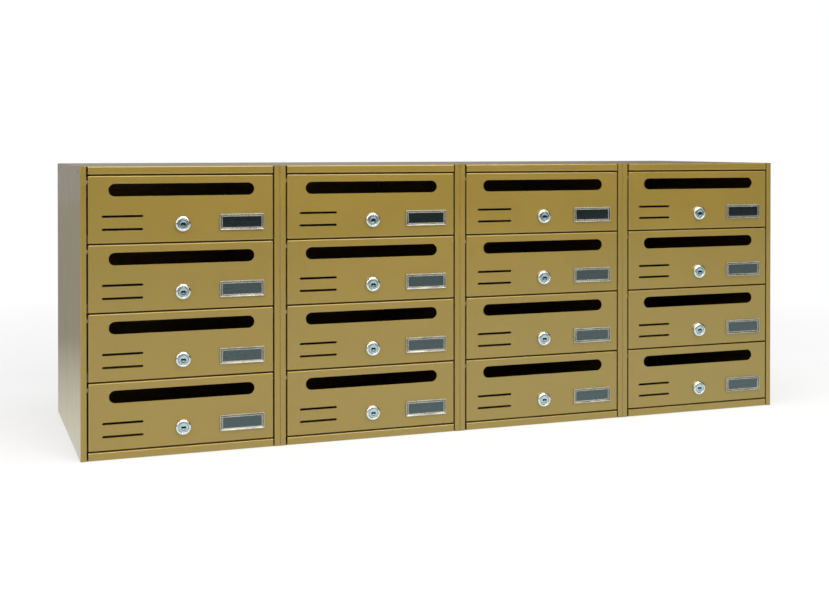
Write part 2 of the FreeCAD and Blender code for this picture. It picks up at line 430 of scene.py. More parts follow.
def applied(piece: Piece) -> Piece:
    """Replace an object's mesh and modifiers by the evaluated mesh.

    Args:
        piece: Object with modifiers.

    Returns:
        The same object, with a plain mesh.
    """
    evaluated = piece.evaluated_get(bpy.context.evaluated_depsgraph_get())
    mesh = bpy.data.meshes.new_from_object(evaluated)
    mesh.name = piece.name
    piece.modifiers.clear()
    old = piece.data
    piece.data = mesh
    bpy.data.meshes.remove(old)
    return piece


def joined(piece: Piece, other: Piece) -> Piece:
    """Add a second shell to a piece.

    Args:
        piece: Piece that stays.
        other: Piece that is taken over.

    Returns:
        The first piece, with both shells.
    """
    whole = bmesh.new()
    whole.from_mesh(piece.data)
    whole.from_mesh(other.data)
    whole.to_mesh(piece.data)
    whole.free()
    discard(other)
    return piece


def cut(piece: Piece, tool: Piece) -> Piece:
    """Cut one closed shape out of another and remove the tool.

    Args:
        piece: Object to cut.
        tool: Closed shells to cut away.

    Returns:
        The cut object.
    """
    hole = piece.modifiers.new("hole", "BOOLEAN")
    hole.operation = "DIFFERENCE"
    hole.solver = "EXACT"
    hole.object = tool
    applied(piece)
    discard(tool)
    return piece


def shaded(piece: Piece, sharp_angle: float | None = None) -> Piece:
    """Drop faces with no area and shade a piece smooth, with its large faces flat.

    Args:
        piece: Object to finish.
        sharp_angle: Angle in degrees from which an edge stays crisp, or nothing where all are round.

    Returns:
        The same object with its shading in the mesh.
    """
    bm = bmesh.new()
    bm.from_mesh(piece.data)
    bmesh.ops.dissolve_degenerate(bm, dist=FALLEN_TOGETHER, edges=bm.edges)
    bm.to_mesh(piece.data)
    bm.free()
    if sharp_angle is not None:
        piece.data.set_sharp_from_angle(angle=math.radians(sharp_angle))
    weights = piece.modifiers.new("flat_faces", "WEIGHTED_NORMAL")
    weights.keep_sharp = True
    return applied(piece)


def crisp(piece: Piece) -> Piece:
    """Shade a piece smooth between crisp edges."""
    piece.data.shade_smooth()
    return shaded(piece, EDGE_ANGLE)


def softened(piece: Piece, width: float, segments: int = 2, angle: float = EDGE_ANGLE) -> Piece:
    """Break the sharp edges of a piece and shade it smooth.

    Args:
        piece: Object to finish.
        width: Width of the broken edge.
        segments: Steps across the broken edge.
        angle: Least angle between faces, in degrees, that counts as an edge.

    Returns:
        The same object with a plain, smooth-shaded mesh.
    """
    piece.data.shade_smooth()
    bevel = piece.modifiers.new("broken_edge", "BEVEL")
    bevel.width = width
    bevel.segments = segments
    bevel.limit_method = "ANGLE"
    bevel.angle_limit = math.radians(angle)
    return shaded(applied(piece))


def remeasured(piece: Piece) -> Piece:
    """Measure again, after cuts, how far each point is from the Y axis.

    Args:
        piece: Turned piece about the Y axis.

    Returns:
        The same piece, with turning marks that stay round beside the cuts.
    """
    radii = piece.data.attributes[RADIUS_ATTRIBUTE].data
    for vertex, radius in zip(piece.data.vertices, radii):
        radius.value = math.hypot(vertex.co.x, vertex.co.z)
    return piece


def fitted(piece: Piece, body: str, node: str | None = None) -> None:
    """Fit a finished piece to its body and report it.

    Args:
        piece: Finished piece.
        body: Body that it rides on.
        node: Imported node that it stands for, where it has one of its own.
    """
    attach(piece, body)
    if node is not None:
        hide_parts(node)
    log.info("%s rides on %s", piece.name, body)


# Shader tools


class NodeGraph:
    """Short calls for building a node tree."""

    def __init__(self, tree: bpy.types.NodeTree) -> None:
        """Keep the tree to build in."""
        self.tree = tree

    def feed(self, socket: NodeSocket, value: Feed) -> None:
        """Give an input its value.

        Args:
            socket: Input to feed.
            value: Output to link to it, or a number or colour to set on it.
        """
        if isinstance(value, NodeSocket):
            self.tree.links.new(value, socket)
        else:
            socket.default_value = value

    def add(self, kind: str, feeds: dict | None = None, **settings: object) -> bpy.types.Node:
        """Add a node.

        Args:
            kind: Node type.
            feeds: Value of each input, by the input's name or number.
            settings: Properties of the node by name.

        Returns:
            The new node.
        """
        node = self.tree.nodes.new(kind)
        for name, value in settings.items():
            setattr(node, name, value)
        for name, value in (feeds or {}).items():
            self.feed(node.inputs[name], value)
        return node

    def math(self, operation: str, first: Feed, second: Feed = 0.0) -> NodeSocket:
        """Work out one value from two."""
        return self.add("ShaderNodeMath", {0: first, 1: second}, operation=operation).outputs[0]

    def noise(self, place: NodeSocket, scale: float, detail: float) -> NodeSocket:
        """Grey value of a Noise texture."""
        return self.add("ShaderNodeTexNoise", {"Vector": place, "Scale": scale, "Detail": detail}).outputs[0]

    def blend(self, amount: Feed, first: Feed, second: Feed) -> NodeSocket:
        """Mix two colours, the first at an amount of zero and the second at one."""
        return self.add("ShaderNodeMix", {0: amount, 6: first, 7: second}, data_type="RGBA").outputs[2]

    def span(self, value: Feed, low: float, high: float, to_low: float, to_high: float) -> NodeSocket:
        """Map a range of a value to another range, held at its ends.

        Args:
            value: Socket to read.
            low: Value that gives to_low.
            high: Value that gives to_high.
            to_low: Result at low.
            to_high: Result at high.

        Returns:
            The mapped value.
        """
        feeds = {"Value": value, "From Min": low, "From Max": high, "To Min": to_low, "To Max": to_high}
        return self.add("ShaderNodeMapRange", feeds).outputs[0]


class NodeGroup(NodeGraph):
    """Node group with named inputs and outputs."""

    def __init__(
        self, name: str, kind: str, inputs: dict[str, SocketKind], outputs: dict[str, SocketKind]
    ) -> None:
        """Make a group that holds only its ends.

        Args:
            name: Name of the group.
            kind: Type of the node tree.
            inputs: Kind of each input by name.
            outputs: Kind of each output by name.
        """
        super().__init__(bpy.data.node_groups.new(name, kind))
        for side, sockets in (("INPUT", inputs), ("OUTPUT", outputs)):
            for label, socket in sockets.items():
                self.tree.interface.new_socket(name=label, in_out=side, socket_type=socket.value)
        self.entry = self.add("NodeGroupInput").outputs
        self.exit = self.add("NodeGroupOutput").inputs

    def give(self, **values: NodeSocket) -> bpy.types.NodeTree:
        """Feed the outputs of the group.

        Args:
            values: Socket for each output by name.

        Returns:
            The finished group.
        """
        for name, value in values.items():
            self.feed(self.exit[name], value)
        return self.tree


class Effect(NodeGroup):
    """Shader node group that reads object coordinates."""

    def __init__(self, name: str, inputs: dict[str, SocketKind], outputs: dict[str, SocketKind]) -> None:
        """Make a group with the coordinates at hand."""
        super().__init__(name, "ShaderNodeTree", inputs, outputs)
        self.place = self.add("ShaderNodeTexCoord").outputs["Object"]

    def patches(
        self, scale: float, detail: float, low: float, high: float, to_low: float = 0.0, to_high: float = 1.0
    ) -> NodeSocket:
        """Noise with part of its range drawn out to another range."""
        return self.span(self.noise(self.place, scale, detail), low, high, to_low, to_high)


def paint_grain() -> bpy.types.NodeTree:
    """Sprayed metallic paint: slow drift between two tones, fine flake and a soft orange peel.

    Returns:
        A group with the paint's colour, roughness and surface height.
    """
    effect = Effect(
        "paint_grain",
        {
            "Tone": SocketKind.COLOUR,
            "Drift Tone": SocketKind.COLOUR,
            "Flake Tone": SocketKind.COLOUR,
            "Flake": SocketKind.NUMBER,
            "Roughness": SocketKind.NUMBER,
        },
        {"Colour": SocketKind.COLOUR, "Roughness": SocketKind.NUMBER, "Height": SocketKind.NUMBER},
    )
    fine_share = 0.25
    entry = effect.entry
    drift = effect.patches(scale=3.0, detail=3.0, low=0.3, high=0.7)
    toned = effect.blend(drift, entry["Tone"], entry["Drift Tone"])
    flake = effect.patches(scale=3800.0, detail=1.0, low=0.6, high=0.8)
    sparkle = effect.math("MULTIPLY", flake, entry["Flake"])
    cloud = effect.patches(scale=14.0, detail=4.0, low=0.25, high=0.75, to_low=-0.05, to_high=0.05)
    peel = effect.noise(effect.place, scale=420.0, detail=1.0)
    fine = effect.noise(effect.place, scale=2400.0, detail=1.0)
    return effect.give(
        Colour=effect.blend(sparkle, toned, entry["Flake Tone"]),
        Roughness=effect.math("ADD", entry["Roughness"], cloud),
        Height=effect.math("ADD", peel, effect.math("MULTIPLY", fine, fine_share)),
    )


def edge_rub() -> bpy.types.NodeTree:
    """Second tone on folds, broken edges and slopes, found where the surface leaves the square directions:
    painted light, a highlight on the gold folds and shade on the plate rim's slopes, with a little wear.

    Returns:
        A group with the toned colour.
    """
    effect = Effect(
        "edge_rub",
        {"Colour": SocketKind.COLOUR, "Edge Tone": SocketKind.COLOUR, "Amount": SocketKind.NUMBER},
        {"Colour": SocketKind.COLOUR},
    )
    facing = effect.add(
        "ShaderNodeVectorTransform",
        {0: effect.add("ShaderNodeNewGeometry").outputs["Normal"]},
        vector_type="NORMAL",
        convert_from="WORLD",
        convert_to="OBJECT",
    )
    size = effect.add("ShaderNodeVectorMath", {0: facing.outputs[0]}, operation="ABSOLUTE")
    x, y, z = effect.add("ShaderNodeSeparateXYZ", {0: size.outputs[0]}).outputs
    largest = effect.math("MAXIMUM", effect.math("MAXIMUM", x, y), z)
    # Painted light: this mask lightens the gold folds as a highlight and darkens the rim's slopes as shade.
    fold = effect.span(largest, low=0.90, high=0.985, to_low=1.0, to_high=0.0)
    broken = effect.patches(scale=60.0, detail=4.0, low=0.35, high=0.7, to_low=0.65)
    mask = effect.math("MULTIPLY", effect.math("MULTIPLY", fold, broken), effect.entry["Amount"])
    return effect.give(Colour=effect.blend(mask, effect.entry["Colour"], effect.entry["Edge Tone"]))


def handled_film() -> bpy.types.NodeTree:
    """Faint smears and dust on bright or clear pieces.

    Returns:
        A group with the colour under the film and the roughness with it.
    """
    effect = Effect(
        "handled_film",
        {
            "Colour": SocketKind.COLOUR,
            "Dust": SocketKind.COLOUR,
            "Amount": SocketKind.NUMBER,
            "Roughness": SocketKind.NUMBER,
        },
        {"Colour": SocketKind.COLOUR, "Roughness": SocketKind.NUMBER},
    )
    dulling = 0.35
    smear = effect.patches(scale=70.0, detail=5.0, low=0.42, high=0.72)
    mask = effect.math("MULTIPLY", smear, effect.entry["Amount"])
    rise = effect.math("MULTIPLY", mask, dulling)
    return effect.give(
        Colour=effect.blend(mask, effect.entry["Colour"], effect.entry["Dust"]),
        Roughness=effect.math("ADD", effect.entry["Roughness"], rise),
    )


def turning_marks() -> bpy.types.NodeTree:
    """Fine rings left by a lathe, from the radius kept in the mesh.

    Returns:
        A group with the height of the rings.
    """
    effect = Effect("turning_marks", {"Rings": SocketKind.NUMBER}, {"Height": SocketKind.NUMBER})
    radius = effect.add("ShaderNodeAttribute", attribute_name=RADIUS_ATTRIBUTE).outputs["Fac"]
    wave = effect.math("SINE", effect.math("MULTIPLY", radius, effect.entry["Rings"]))
    uneven = effect.noise(effect.place, scale=1500.0, detail=2.0)
    return effect.give(Height=effect.math("MULTIPLY", wave, uneven))


class EffectLibrary:
    """The shared shader effects, each built once."""

    def __init__(self) -> None:
        """Build every effect."""
        self.paint_grain = paint_grain()
        self.edge_rub = edge_rub()
        self.handled_film = handled_film()
        self.turning_marks = turning_marks()


class Shader(NodeGraph):
    """Node graph of one material around its Principled shader."""

    def __init__(self, name: str) -> None:
        """Make a material that holds a Principled shader and its output.

        Args:
            name: Name of the material.
        """
        self.material = bpy.data.materials.new(name)
        self.material.use_nodes = True
        super().__init__(self.material.node_tree)
        self.tree.nodes.clear()
        self.surface = self.add("ShaderNodeBsdfPrincipled")
        self.output = self.add("ShaderNodeOutputMaterial", {"Surface": self.surface.outputs[0]})

    def set(self, **values: Feed) -> None:
        """Feed the Principled shader, with underscores for the spaces in socket names."""
        for name, value in values.items():
            self.feed(self.surface.inputs[name.replace("_", " ")], value)

    def coordinates(self) -> NodeSocket:
        """Object coordinates of the surface."""
        return self.add("ShaderNodeTexCoord").outputs["Object"]

    def effect(self, tree: bpy.types.NodeTree, **values: Feed) -> bpy.types.NodeOutputs:
        """Place a shared effect, with its values by input name and underscores for spaces."""
        feeds = {name.replace("_", " "): value for name, value in values.items()}
        return self.add("ShaderNodeGroup", feeds, node_tree=tree).outputs

    def bump(self, height: NodeSocket, depth: float, strength: float) -> None:
        """Feed a height to the shader's normal.

        Args:
            height: Height socket.
            depth: Depth in metres of a height of one.
            strength: Strength of the bump.
        """
        feeds = {"Strength": strength, "Distance": depth, "Height": height}
        self.set(Normal=self.add("ShaderNodeBump", feeds).outputs[0])


def opaque(colour: Colour) -> tuple[float, float, float, float]:
    """Colour with full alpha, as node sockets take it."""
    return (*colour, 1.0)


# Finishes


@dataclass(frozen=True)
class GoldPaint:
    """Satin metallic gold paint on folded steel sheet."""

    name: str = "gold_paint_satin"
    tone: Colour = (0.344, 0.223, 0.032)
    drift_tone: Colour = (0.323, 0.222, 0.039)
    flake_tone: Colour = (0.60, 0.46, 0.17)
    # Lighter tone on the folds: a painted highlight, with a little wear.
    fold_tone: Colour = (0.66, 0.55, 0.25)
    flake: float = 0.22
    fold_highlight_and_wear: float = 0.14
    metallic: float = 0.5
    roughness: float = 0.40
    specular: float = 0.25
    coat: float = 0.9
    coat_roughness: float = 0.16
    coat_ior: float = 1.65
    peel_depth: float = 0.06 * MM
    peel_strength: float = 0.25

    def build(self, effects: EffectLibrary) -> bpy.types.Material:
        """Build the material.

        Args:
            effects: Shared shader effects.

        Returns:
            The finished material.
        """
        shader = Shader(self.name)
        grain = shader.effect(
            effects.paint_grain,
            Tone=opaque(self.tone),
            Drift_Tone=opaque(self.drift_tone),
            Flake_Tone=opaque(self.flake_tone),
            Flake=self.flake,
            Roughness=self.roughness,
        )
        # Folds take the lighter fold tone: a painted highlight, with a little wear.
        highlit_and_worn = shader.effect(
            effects.edge_rub, Colour=grain["Colour"], Edge_Tone=opaque(self.fold_tone), Amount=self.fold_highlight_and_wear
        )
        shader.set(Base_Color=highlit_and_worn["Colour"], Roughness=grain["Roughness"], Metallic=self.metallic)
        shader.set(Coat_Weight=self.coat, Coat_Roughness=self.coat_roughness, Coat_IOR=self.coat_ior)
        shader.set(Specular_IOR_Level=self.specular)
        shader.bump(grain["Height"], self.peel_depth, self.peel_strength)
        return shader.material


@dataclass(frozen=True)
class HandledFinish:
    """A tone under a film of smears and dust."""

    name: str
    tone: Colour
    dust: Colour
    roughness: float
    film: float

    def handled(self, shader: Shader, effects: EffectLibrary, colour: Feed) -> bpy.types.NodeOutputs:
        """Lay the film over a colour, and feed the colour and the roughness to the shader.

        Args:
            shader: Shader of the finish.
            effects: Shared shader effects.
            colour: Colour or socket under the film.

        Returns:
            The colour and the roughness with the film.
        """
        film = shader.effect(
            effects.handled_film,
            Colour=colour,
            Dust=opaque(self.dust),
            Amount=self.film,
            Roughness=self.roughness,
        )
        shader.set(Base_Color=film["Colour"], Roughness=film["Roughness"])
        return film


@dataclass(frozen=True)
class BrightMetal(HandledFinish):
    """Plated or polished metal with faint handling marks, and turning rings where it was turned."""

    rings: float = 0.0
    ring_depth: float = 0.004 * MM
    ring_strength: float = 1.0

    def build(self, effects: EffectLibrary) -> bpy.types.Material:
        """Build the material.

        Args:
            effects: Shared shader effects.

        Returns:
            The finished material.
        """
        shader = Shader(self.name)
        self.handled(shader, effects, opaque(self.tone))
        shader.set(Metallic=1.0)
        if self.rings > 0:
            marks = shader.effect(effects.turning_marks, Rings=self.rings)
            shader.bump(marks["Height"], self.ring_depth, self.ring_strength)
        return shader.material


@dataclass(frozen=True)
class MouldedPlastic(HandledFinish):
    """Opaque moulded plastic with a fine spark-eroded grain."""

    edge_tone: Colour
    metallic: float = 0.0
    grain_scale: float = 1800.0
    grain_depth: float = 0.03 * MM
    grain_strength: float = 0.3

    def build(self, effects: EffectLibrary) -> bpy.types.Material:
        """Build the material.

        Args:
            effects: Shared shader effects.

        Returns:
            The finished material.
        """
        shader = Shader(self.name)
        film = self.handled(shader, effects, opaque(self.tone))
        # Slopes and broken edges take the edge tone: painted shade where it is darker, as in the rim's
        # groove.
        edged = shader.effect(
            effects.edge_rub, Colour=film["Colour"], Edge_Tone=opaque(self.edge_tone), Amount=1.0
        )
        shader.set(Base_Color=edged["Colour"], Metallic=self.metallic)
        grain = shader.noise(shader.coordinates(), self.grain_scale, detail=2.0)
        shader.bump(grain, self.grain_depth, self.grain_strength)
        return shader.material


@dataclass(frozen=True)
class ClearPlastic(HandledFinish):
    """Clear window plastic: see-through, with the reflection of both its faces and faint smears."""

    name: str = "clear_window"
    tone: Colour = (0.82, 0.97, 1.0)
    dust: Colour = (0.85, 0.86, 0.86)
    roughness: float = 0.07
    film: float = 0.15
    index: float = 1.49
    faces: float = 3.3

    def build(self, effects: EffectLibrary) -> bpy.types.Material:
        """Build the material.

        Args:
            effects: Shared shader effects.

        Returns:
            The finished material.
        """
        shader = Shader(self.name)
        self.handled(shader, effects, opaque(self.tone))
        mirror = shader.add("ShaderNodeFresnel", {"IOR": self.index}).outputs[0]
        doubled = shader.math("MULTIPLY", mirror, self.faces)
        shader.set(Metallic=1.0, Alpha=shader.math("MINIMUM", doubled, 1.0))
        return shader.material


@dataclass(frozen=True)
class SlateCard(HandledFinish):
    """Blank slate-grey card with paper fibres."""

    name: str = "slate_card"
    tone: Colour = (0.006, 0.014, 0.016)
    dust: Colour = (0.013, 0.023, 0.026)
    roughness: float = 0.62
    film: float = 0.4
    specular: float = 0.1
    fibre_scale: float = 1400.0
    fibre_stretch: tuple[float, float, float] = (0.25, 1.0, 1.0)
    fibre_depth: float = 0.05 * MM
    fibre_strength: float = 0.3

    def build(self, effects: EffectLibrary) -> bpy.types.Material:
        """Build the material.

        Args:
            effects: Shared shader effects.

        Returns:
            The finished material.
        """
        shader = Shader(self.name)
        feeds = {"Vector": shader.coordinates(), "Scale": self.fibre_stretch}
        stretched = shader.add("ShaderNodeMapping", feeds).outputs[0]
        fibres = shader.noise(stretched, self.fibre_scale, detail=4.0)
        self.handled(shader, effects, shader.blend(fibres, opaque(self.tone), opaque(self.dust)))
        shader.set(Specular_IOR_Level=self.specular)
        shader.bump(fibres, self.fibre_depth, self.fibre_strength)
        return shader.material


class Finishes:
    """Every finish of the object, as built materials."""

    def __init__(self) -> None:
        """Build the materials."""
        effects = EffectLibrary()
        dull = (0.72, 0.72, 0.70)
        dark = (0.030, 0.028, 0.026)
        self.paint = GoldPaint().build(effects)
        self.chrome = BrightMetal(
            "lock_chrome", tone=(0.85, 0.85, 0.83), dust=dull, roughness=0.09, film=0.3, rings=9000.0
        ).build(effects)
        self.plug = BrightMetal(
            "plug_nickel", tone=(0.60, 0.70, 0.72), dust=dull, roughness=0.17, film=0.2, rings=14000.0
        ).build(effects)
        # Near-black finish on the keyway's walls: painted shade in the keyhole.
        self.keyway = BrightMetal(
            "keyway_oiled", tone=(0.035, 0.034, 0.033), dust=dark, roughness=0.55, film=0.5
        ).build(effects)
        self.zinc = BrightMetal(
            "zinc_plate", tone=(0.52, 0.53, 0.54), dust=dull, roughness=0.34, film=0.6
        ).build(effects)
        # Very dark tone on the hinge pins: painted shade for the pins down in the gaps beside the doors.
        self.steel = BrightMetal(
            "pin_steel", tone=(0.06, 0.06, 0.062), dust=dark, roughness=0.46, film=0.4
        ).build(effects)
        self.nylon = MouldedPlastic(
            "nylon_washer",
            tone=(0.29, 0.245, 0.13),
            dust=(0.24, 0.20, 0.11),
            edge_tone=(0.27, 0.23, 0.13),
            roughness=0.55,
            film=0.4,
        ).build(effects)
        # The near-black edge tone paints shade on the rim's slopes and groove.
        self.rim = MouldedPlastic(
            "silver_plate_rim",
            tone=(0.62, 0.58, 0.47),
            dust=(0.66, 0.62, 0.52),
            edge_tone=(0.08, 0.078, 0.072),
            roughness=0.22,
            film=0.4,
            metallic=0.75,
        ).build(effects)
        self.window = ClearPlastic().build(effects)
        self.card = SlateCard().build(effects)


# Repeated pieces


@dataclass
class Scatter:
    """Copies of one piece, set out in columns and rows by a Geometry Nodes tree."""

    start: Vector
    columns: int
    rows: int
    column_step: Vector
    row_step: Vector
    tree_name: ClassVar[str] = "set_out_in_rows"

    def tree(self) -> bpy.types.NodeTree:
        """Build the tree.

        Returns:
            A tree with named inputs for the counts, steps, start, piece and finish.
        """
        group = NodeGroup(
            self.tree_name,
            "GeometryNodeTree",
            {
                "Columns": SocketKind.COUNT,
                "Rows": SocketKind.COUNT,
                "Column Step": SocketKind.STEP,
                "Row Step": SocketKind.STEP,
                "Start": SocketKind.STEP,
                "Piece": SocketKind.PIECE,
                "Finish": SocketKind.FINISH,
            },
            {"Mesh": SocketKind.MESH},
        )
        entry = group.entry
        column_line = group.add(
            "GeometryNodeMeshLine",
            {"Count": entry["Columns"], "Start Location": entry["Start"], "Offset": entry["Column Step"]},
            mode="OFFSET",
        ).outputs[0]
        row_line = group.add(
            "GeometryNodeMeshLine", {"Count": entry["Rows"], "Offset": entry["Row Step"]}, mode="OFFSET"
        ).outputs[0]
        piece = group.add("GeometryNodeObjectInfo", {"Object": entry["Piece"]}).outputs["Geometry"]
        places = column_line
        for each in (row_line, piece):
            copies = group.add("GeometryNodeInstanceOnPoints", {"Points": places, "Instance": each})
            places = group.add("GeometryNodeRealizeInstances", {0: copies.outputs[0]}).outputs[0]
        painted = group.add("GeometryNodeSetMaterial", {"Geometry": places, "Material": entry["Finish"]})
        return group.give(Mesh=painted.outputs[0])

    def spread(self, template: Piece, name: str, finish: bpy.types.Material) -> Piece:
        """Set out copies of a template as one plain mesh and remove the template.

        Args:
            template: Finished piece about the origin.
            name: Name of the result.
            finish: Material of the copies.

        Returns:
            The object with all the copies.
        """
        piece = placed(bpy.data.meshes.new(name), name)
        modifier = piece.modifiers.new("set_out", "NODES")
        modifier.node_group = bpy.data.node_groups.get(self.tree_name) or self.tree()
        values = {
            "Columns": self.columns,
            "Rows": self.rows,
            "Column Step": tuple(self.column_step),
            "Row Step": tuple(self.row_step),
            "Start": tuple(self.start),
            "Piece": template,
            "Finish": finish,
        }
        for item in modifier.node_group.interface.items_tree:
            if item.in_out == "INPUT":
                modifier[item.identifier] = values[item.name]
        applied(piece)
        discard(template)
        return piece


# Sub-assemblies


def joint_place(name: str) -> Vector:
    """Point on the axis of a joint."""
    return Vector(next(joint["pos_m"] for joint in frame["joints"] if joint["name"] == name))


@dataclass(frozen=True)
class BoxPlace:
    """Names and places of one box of the bank, read from the frame."""

    row: int
    column: int

    @property
    def tag(self) -> str:
        """Ending of the box's node names."""
        return f"r{self.row}c{self.column}"

    @property
    def door_body(self) -> str:
        """Body that the door's pieces ride on."""
        return f"door_{self.tag}"

    @property
    def lock_body(self) -> str:
        """Body that the lock's turning pieces ride on."""
        return f"lock_{self.tag}"

    @property
    def corner(self) -> Vector:
        """Lower left front corner of the door."""
        return Vector(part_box(f"door_panel_{self.tag}")[0])

    @property
    def lock_centre(self) -> Vector:
        """Point on the lock's axis in the plane of the door's front."""
        return joint_place(f"lock_turn_{self.tag}")

    @property
    def plate_centre(self) -> Vector:
        """Middle of the name plate in the plane of the door's front.

        Returns:
            The place, from the right edge of the door's fittings.
        """
        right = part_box(f"door_fittings_{self.tag}")[1][0]
        up = self.corner.z + NamePlate.above_bottom
        return Vector((right - NamePlate.width / 2, self.lock_centre.y, up))


def all_boxes() -> list[BoxPlace]:
    """Every box of the bank, row by row."""
    return [BoxPlace(row, column) for row in range(1, ROWS + 1) for column in range(1, COLUMNS + 1)]


def module_step() -> Vector:
    """Way from one module to the next."""
    return BoxPlace(1, 2).corner - BoxPlace(1, 1).corner


def row_step() -> Vector:
    """Way from one row to the next one down."""
    return BoxPlace(2, 1).corner - BoxPlace(1, 1).corner


@dataclass
class Door:
    """Folded door pan with its mail slot, vent slits and holes."""

    width: float = 259 * MM
    height: float = 93 * MM
    depth: float = 10 * MM
    sheet: float = 1.0 * MM
    fold_radius: float = 1.5 * MM
    fold_steps: int = 6
    slot_length: float = 204 * MM
    slot_height: float = 17.6 * MM
    slot_below_top: float = 10.9 * MM
    slot_steps: int = 24
    vents: int = 2
    vent_length: float = 56 * MM
    vent_height: float = 3.2 * MM
    vent_from_left: float = 18.5 * MM
    vent_above_bottom: float = 19 * MM
    vent_spacing: float = 18 * MM
    vent_steps: int = 10
    lock_above_bottom: float = 25 * MM
    lock_hole: float = 18 * MM
    lock_flats: float = 16 * MM
    hinge_below_top: float = 9 * MM
    hinge_behind_front: float = 5 * MM
    hinge_hole: float = 4.1 * MM
    edge_break: float = 0.1 * MM
    edge_angle: float = 60.0

    def pan(self) -> Piece:
        """Fold the bare pan, open at the back, with its lower left front corner at the origin.

        Returns:
            The pan with its sheet thickness and round folds.
        """
        bm = bmesh.new()
        size = Vector((self.width, self.depth, self.height))
        bmesh.ops.create_cube(bm, size=1.0)
        for vert in bm.verts:
            vert.co = Vector(((vert.co[i] + 0.5) * size[i] for i in range(3)))
        folds = [edge for edge in bm.edges if min(vert.co.y for vert in edge.verts) < self.depth / 2]
        bevelled(bm, folds, self.fold_radius, self.fold_steps)
        behind = self.depth - FALLEN_TOGETHER
        back = [face for face in bm.faces if min(vert.co.y for vert in face.verts) > behind]
        bmesh.ops.delete(bm, geom=back, context="FACES")
        pan = as_object(bm, "door_pan")
        wall = pan.modifiers.new("sheet", "SOLIDIFY")
        wall.thickness = self.sheet
        wall.offset = -1.0
        wall.use_even_offset = True
        return applied(pan)

    def punches(self) -> Piece:
        """Closed shapes of everything that is punched out of the pan.

        Returns:
            One object with all the shapes.
        """
        middle = self.width / 2
        through = (-self.sheet, 2 * self.sheet)
        slot = prism(stadium(self.slot_length, self.slot_height, self.slot_steps), *through)
        shapes = [moved(slot, x=middle, z=self.height - self.slot_below_top - self.slot_height / 2)]
        vent_x = self.vent_from_left + self.vent_length / 2
        for step in range(self.vents):
            vent = prism(stadium(self.vent_length, self.vent_height, self.vent_steps), *through)
            shapes.append(moved(vent, x=vent_x, z=self.vent_above_bottom + step * self.vent_spacing))
        flat = self.lock_flats / 2
        outline = [(x, max(-flat, min(flat, z))) for x, z in regular(LOCK_STEPS, self.lock_hole / 2)]
        shapes.append(moved(prism(outline, *through), x=middle, z=self.lock_above_bottom))
        plate_x = self.width - NamePlate.from_door_right - NamePlate.width / 2
        for peg_x in NamePlate.peg_offsets():
            peg = prism(regular(PEG_STEPS, NamePlate.peg / 2), *through)
            shapes.append(moved(peg, x=plate_x + peg_x, z=NamePlate.above_bottom))
        bore = rod(self.hinge_hole / 2, -self.sheet, self.width + self.sheet)
        hinge = turned(bore, Axis.X, PIN_STEPS)
        shapes.append(moved(hinge, y=self.hinge_behind_front, z=self.height - self.hinge_below_top))
        return as_object(merged(shapes), "door_punches")

    def build(self, finishes: Finishes) -> None:
        """Hang a door on every box.

        Args:
            finishes: Materials of the object.
        """
        pan = cut(self.pan(), self.punches())
        template = softened(pan, self.edge_break, angle=self.edge_angle)
        template.data.materials.append(finishes.paint)
        for box in all_boxes():
            door = copied(template, f"door_{box.tag}_pan", box.corner)
            fitted(door, box.door_body, f"door_panel_{box.tag}")
        discard(template)


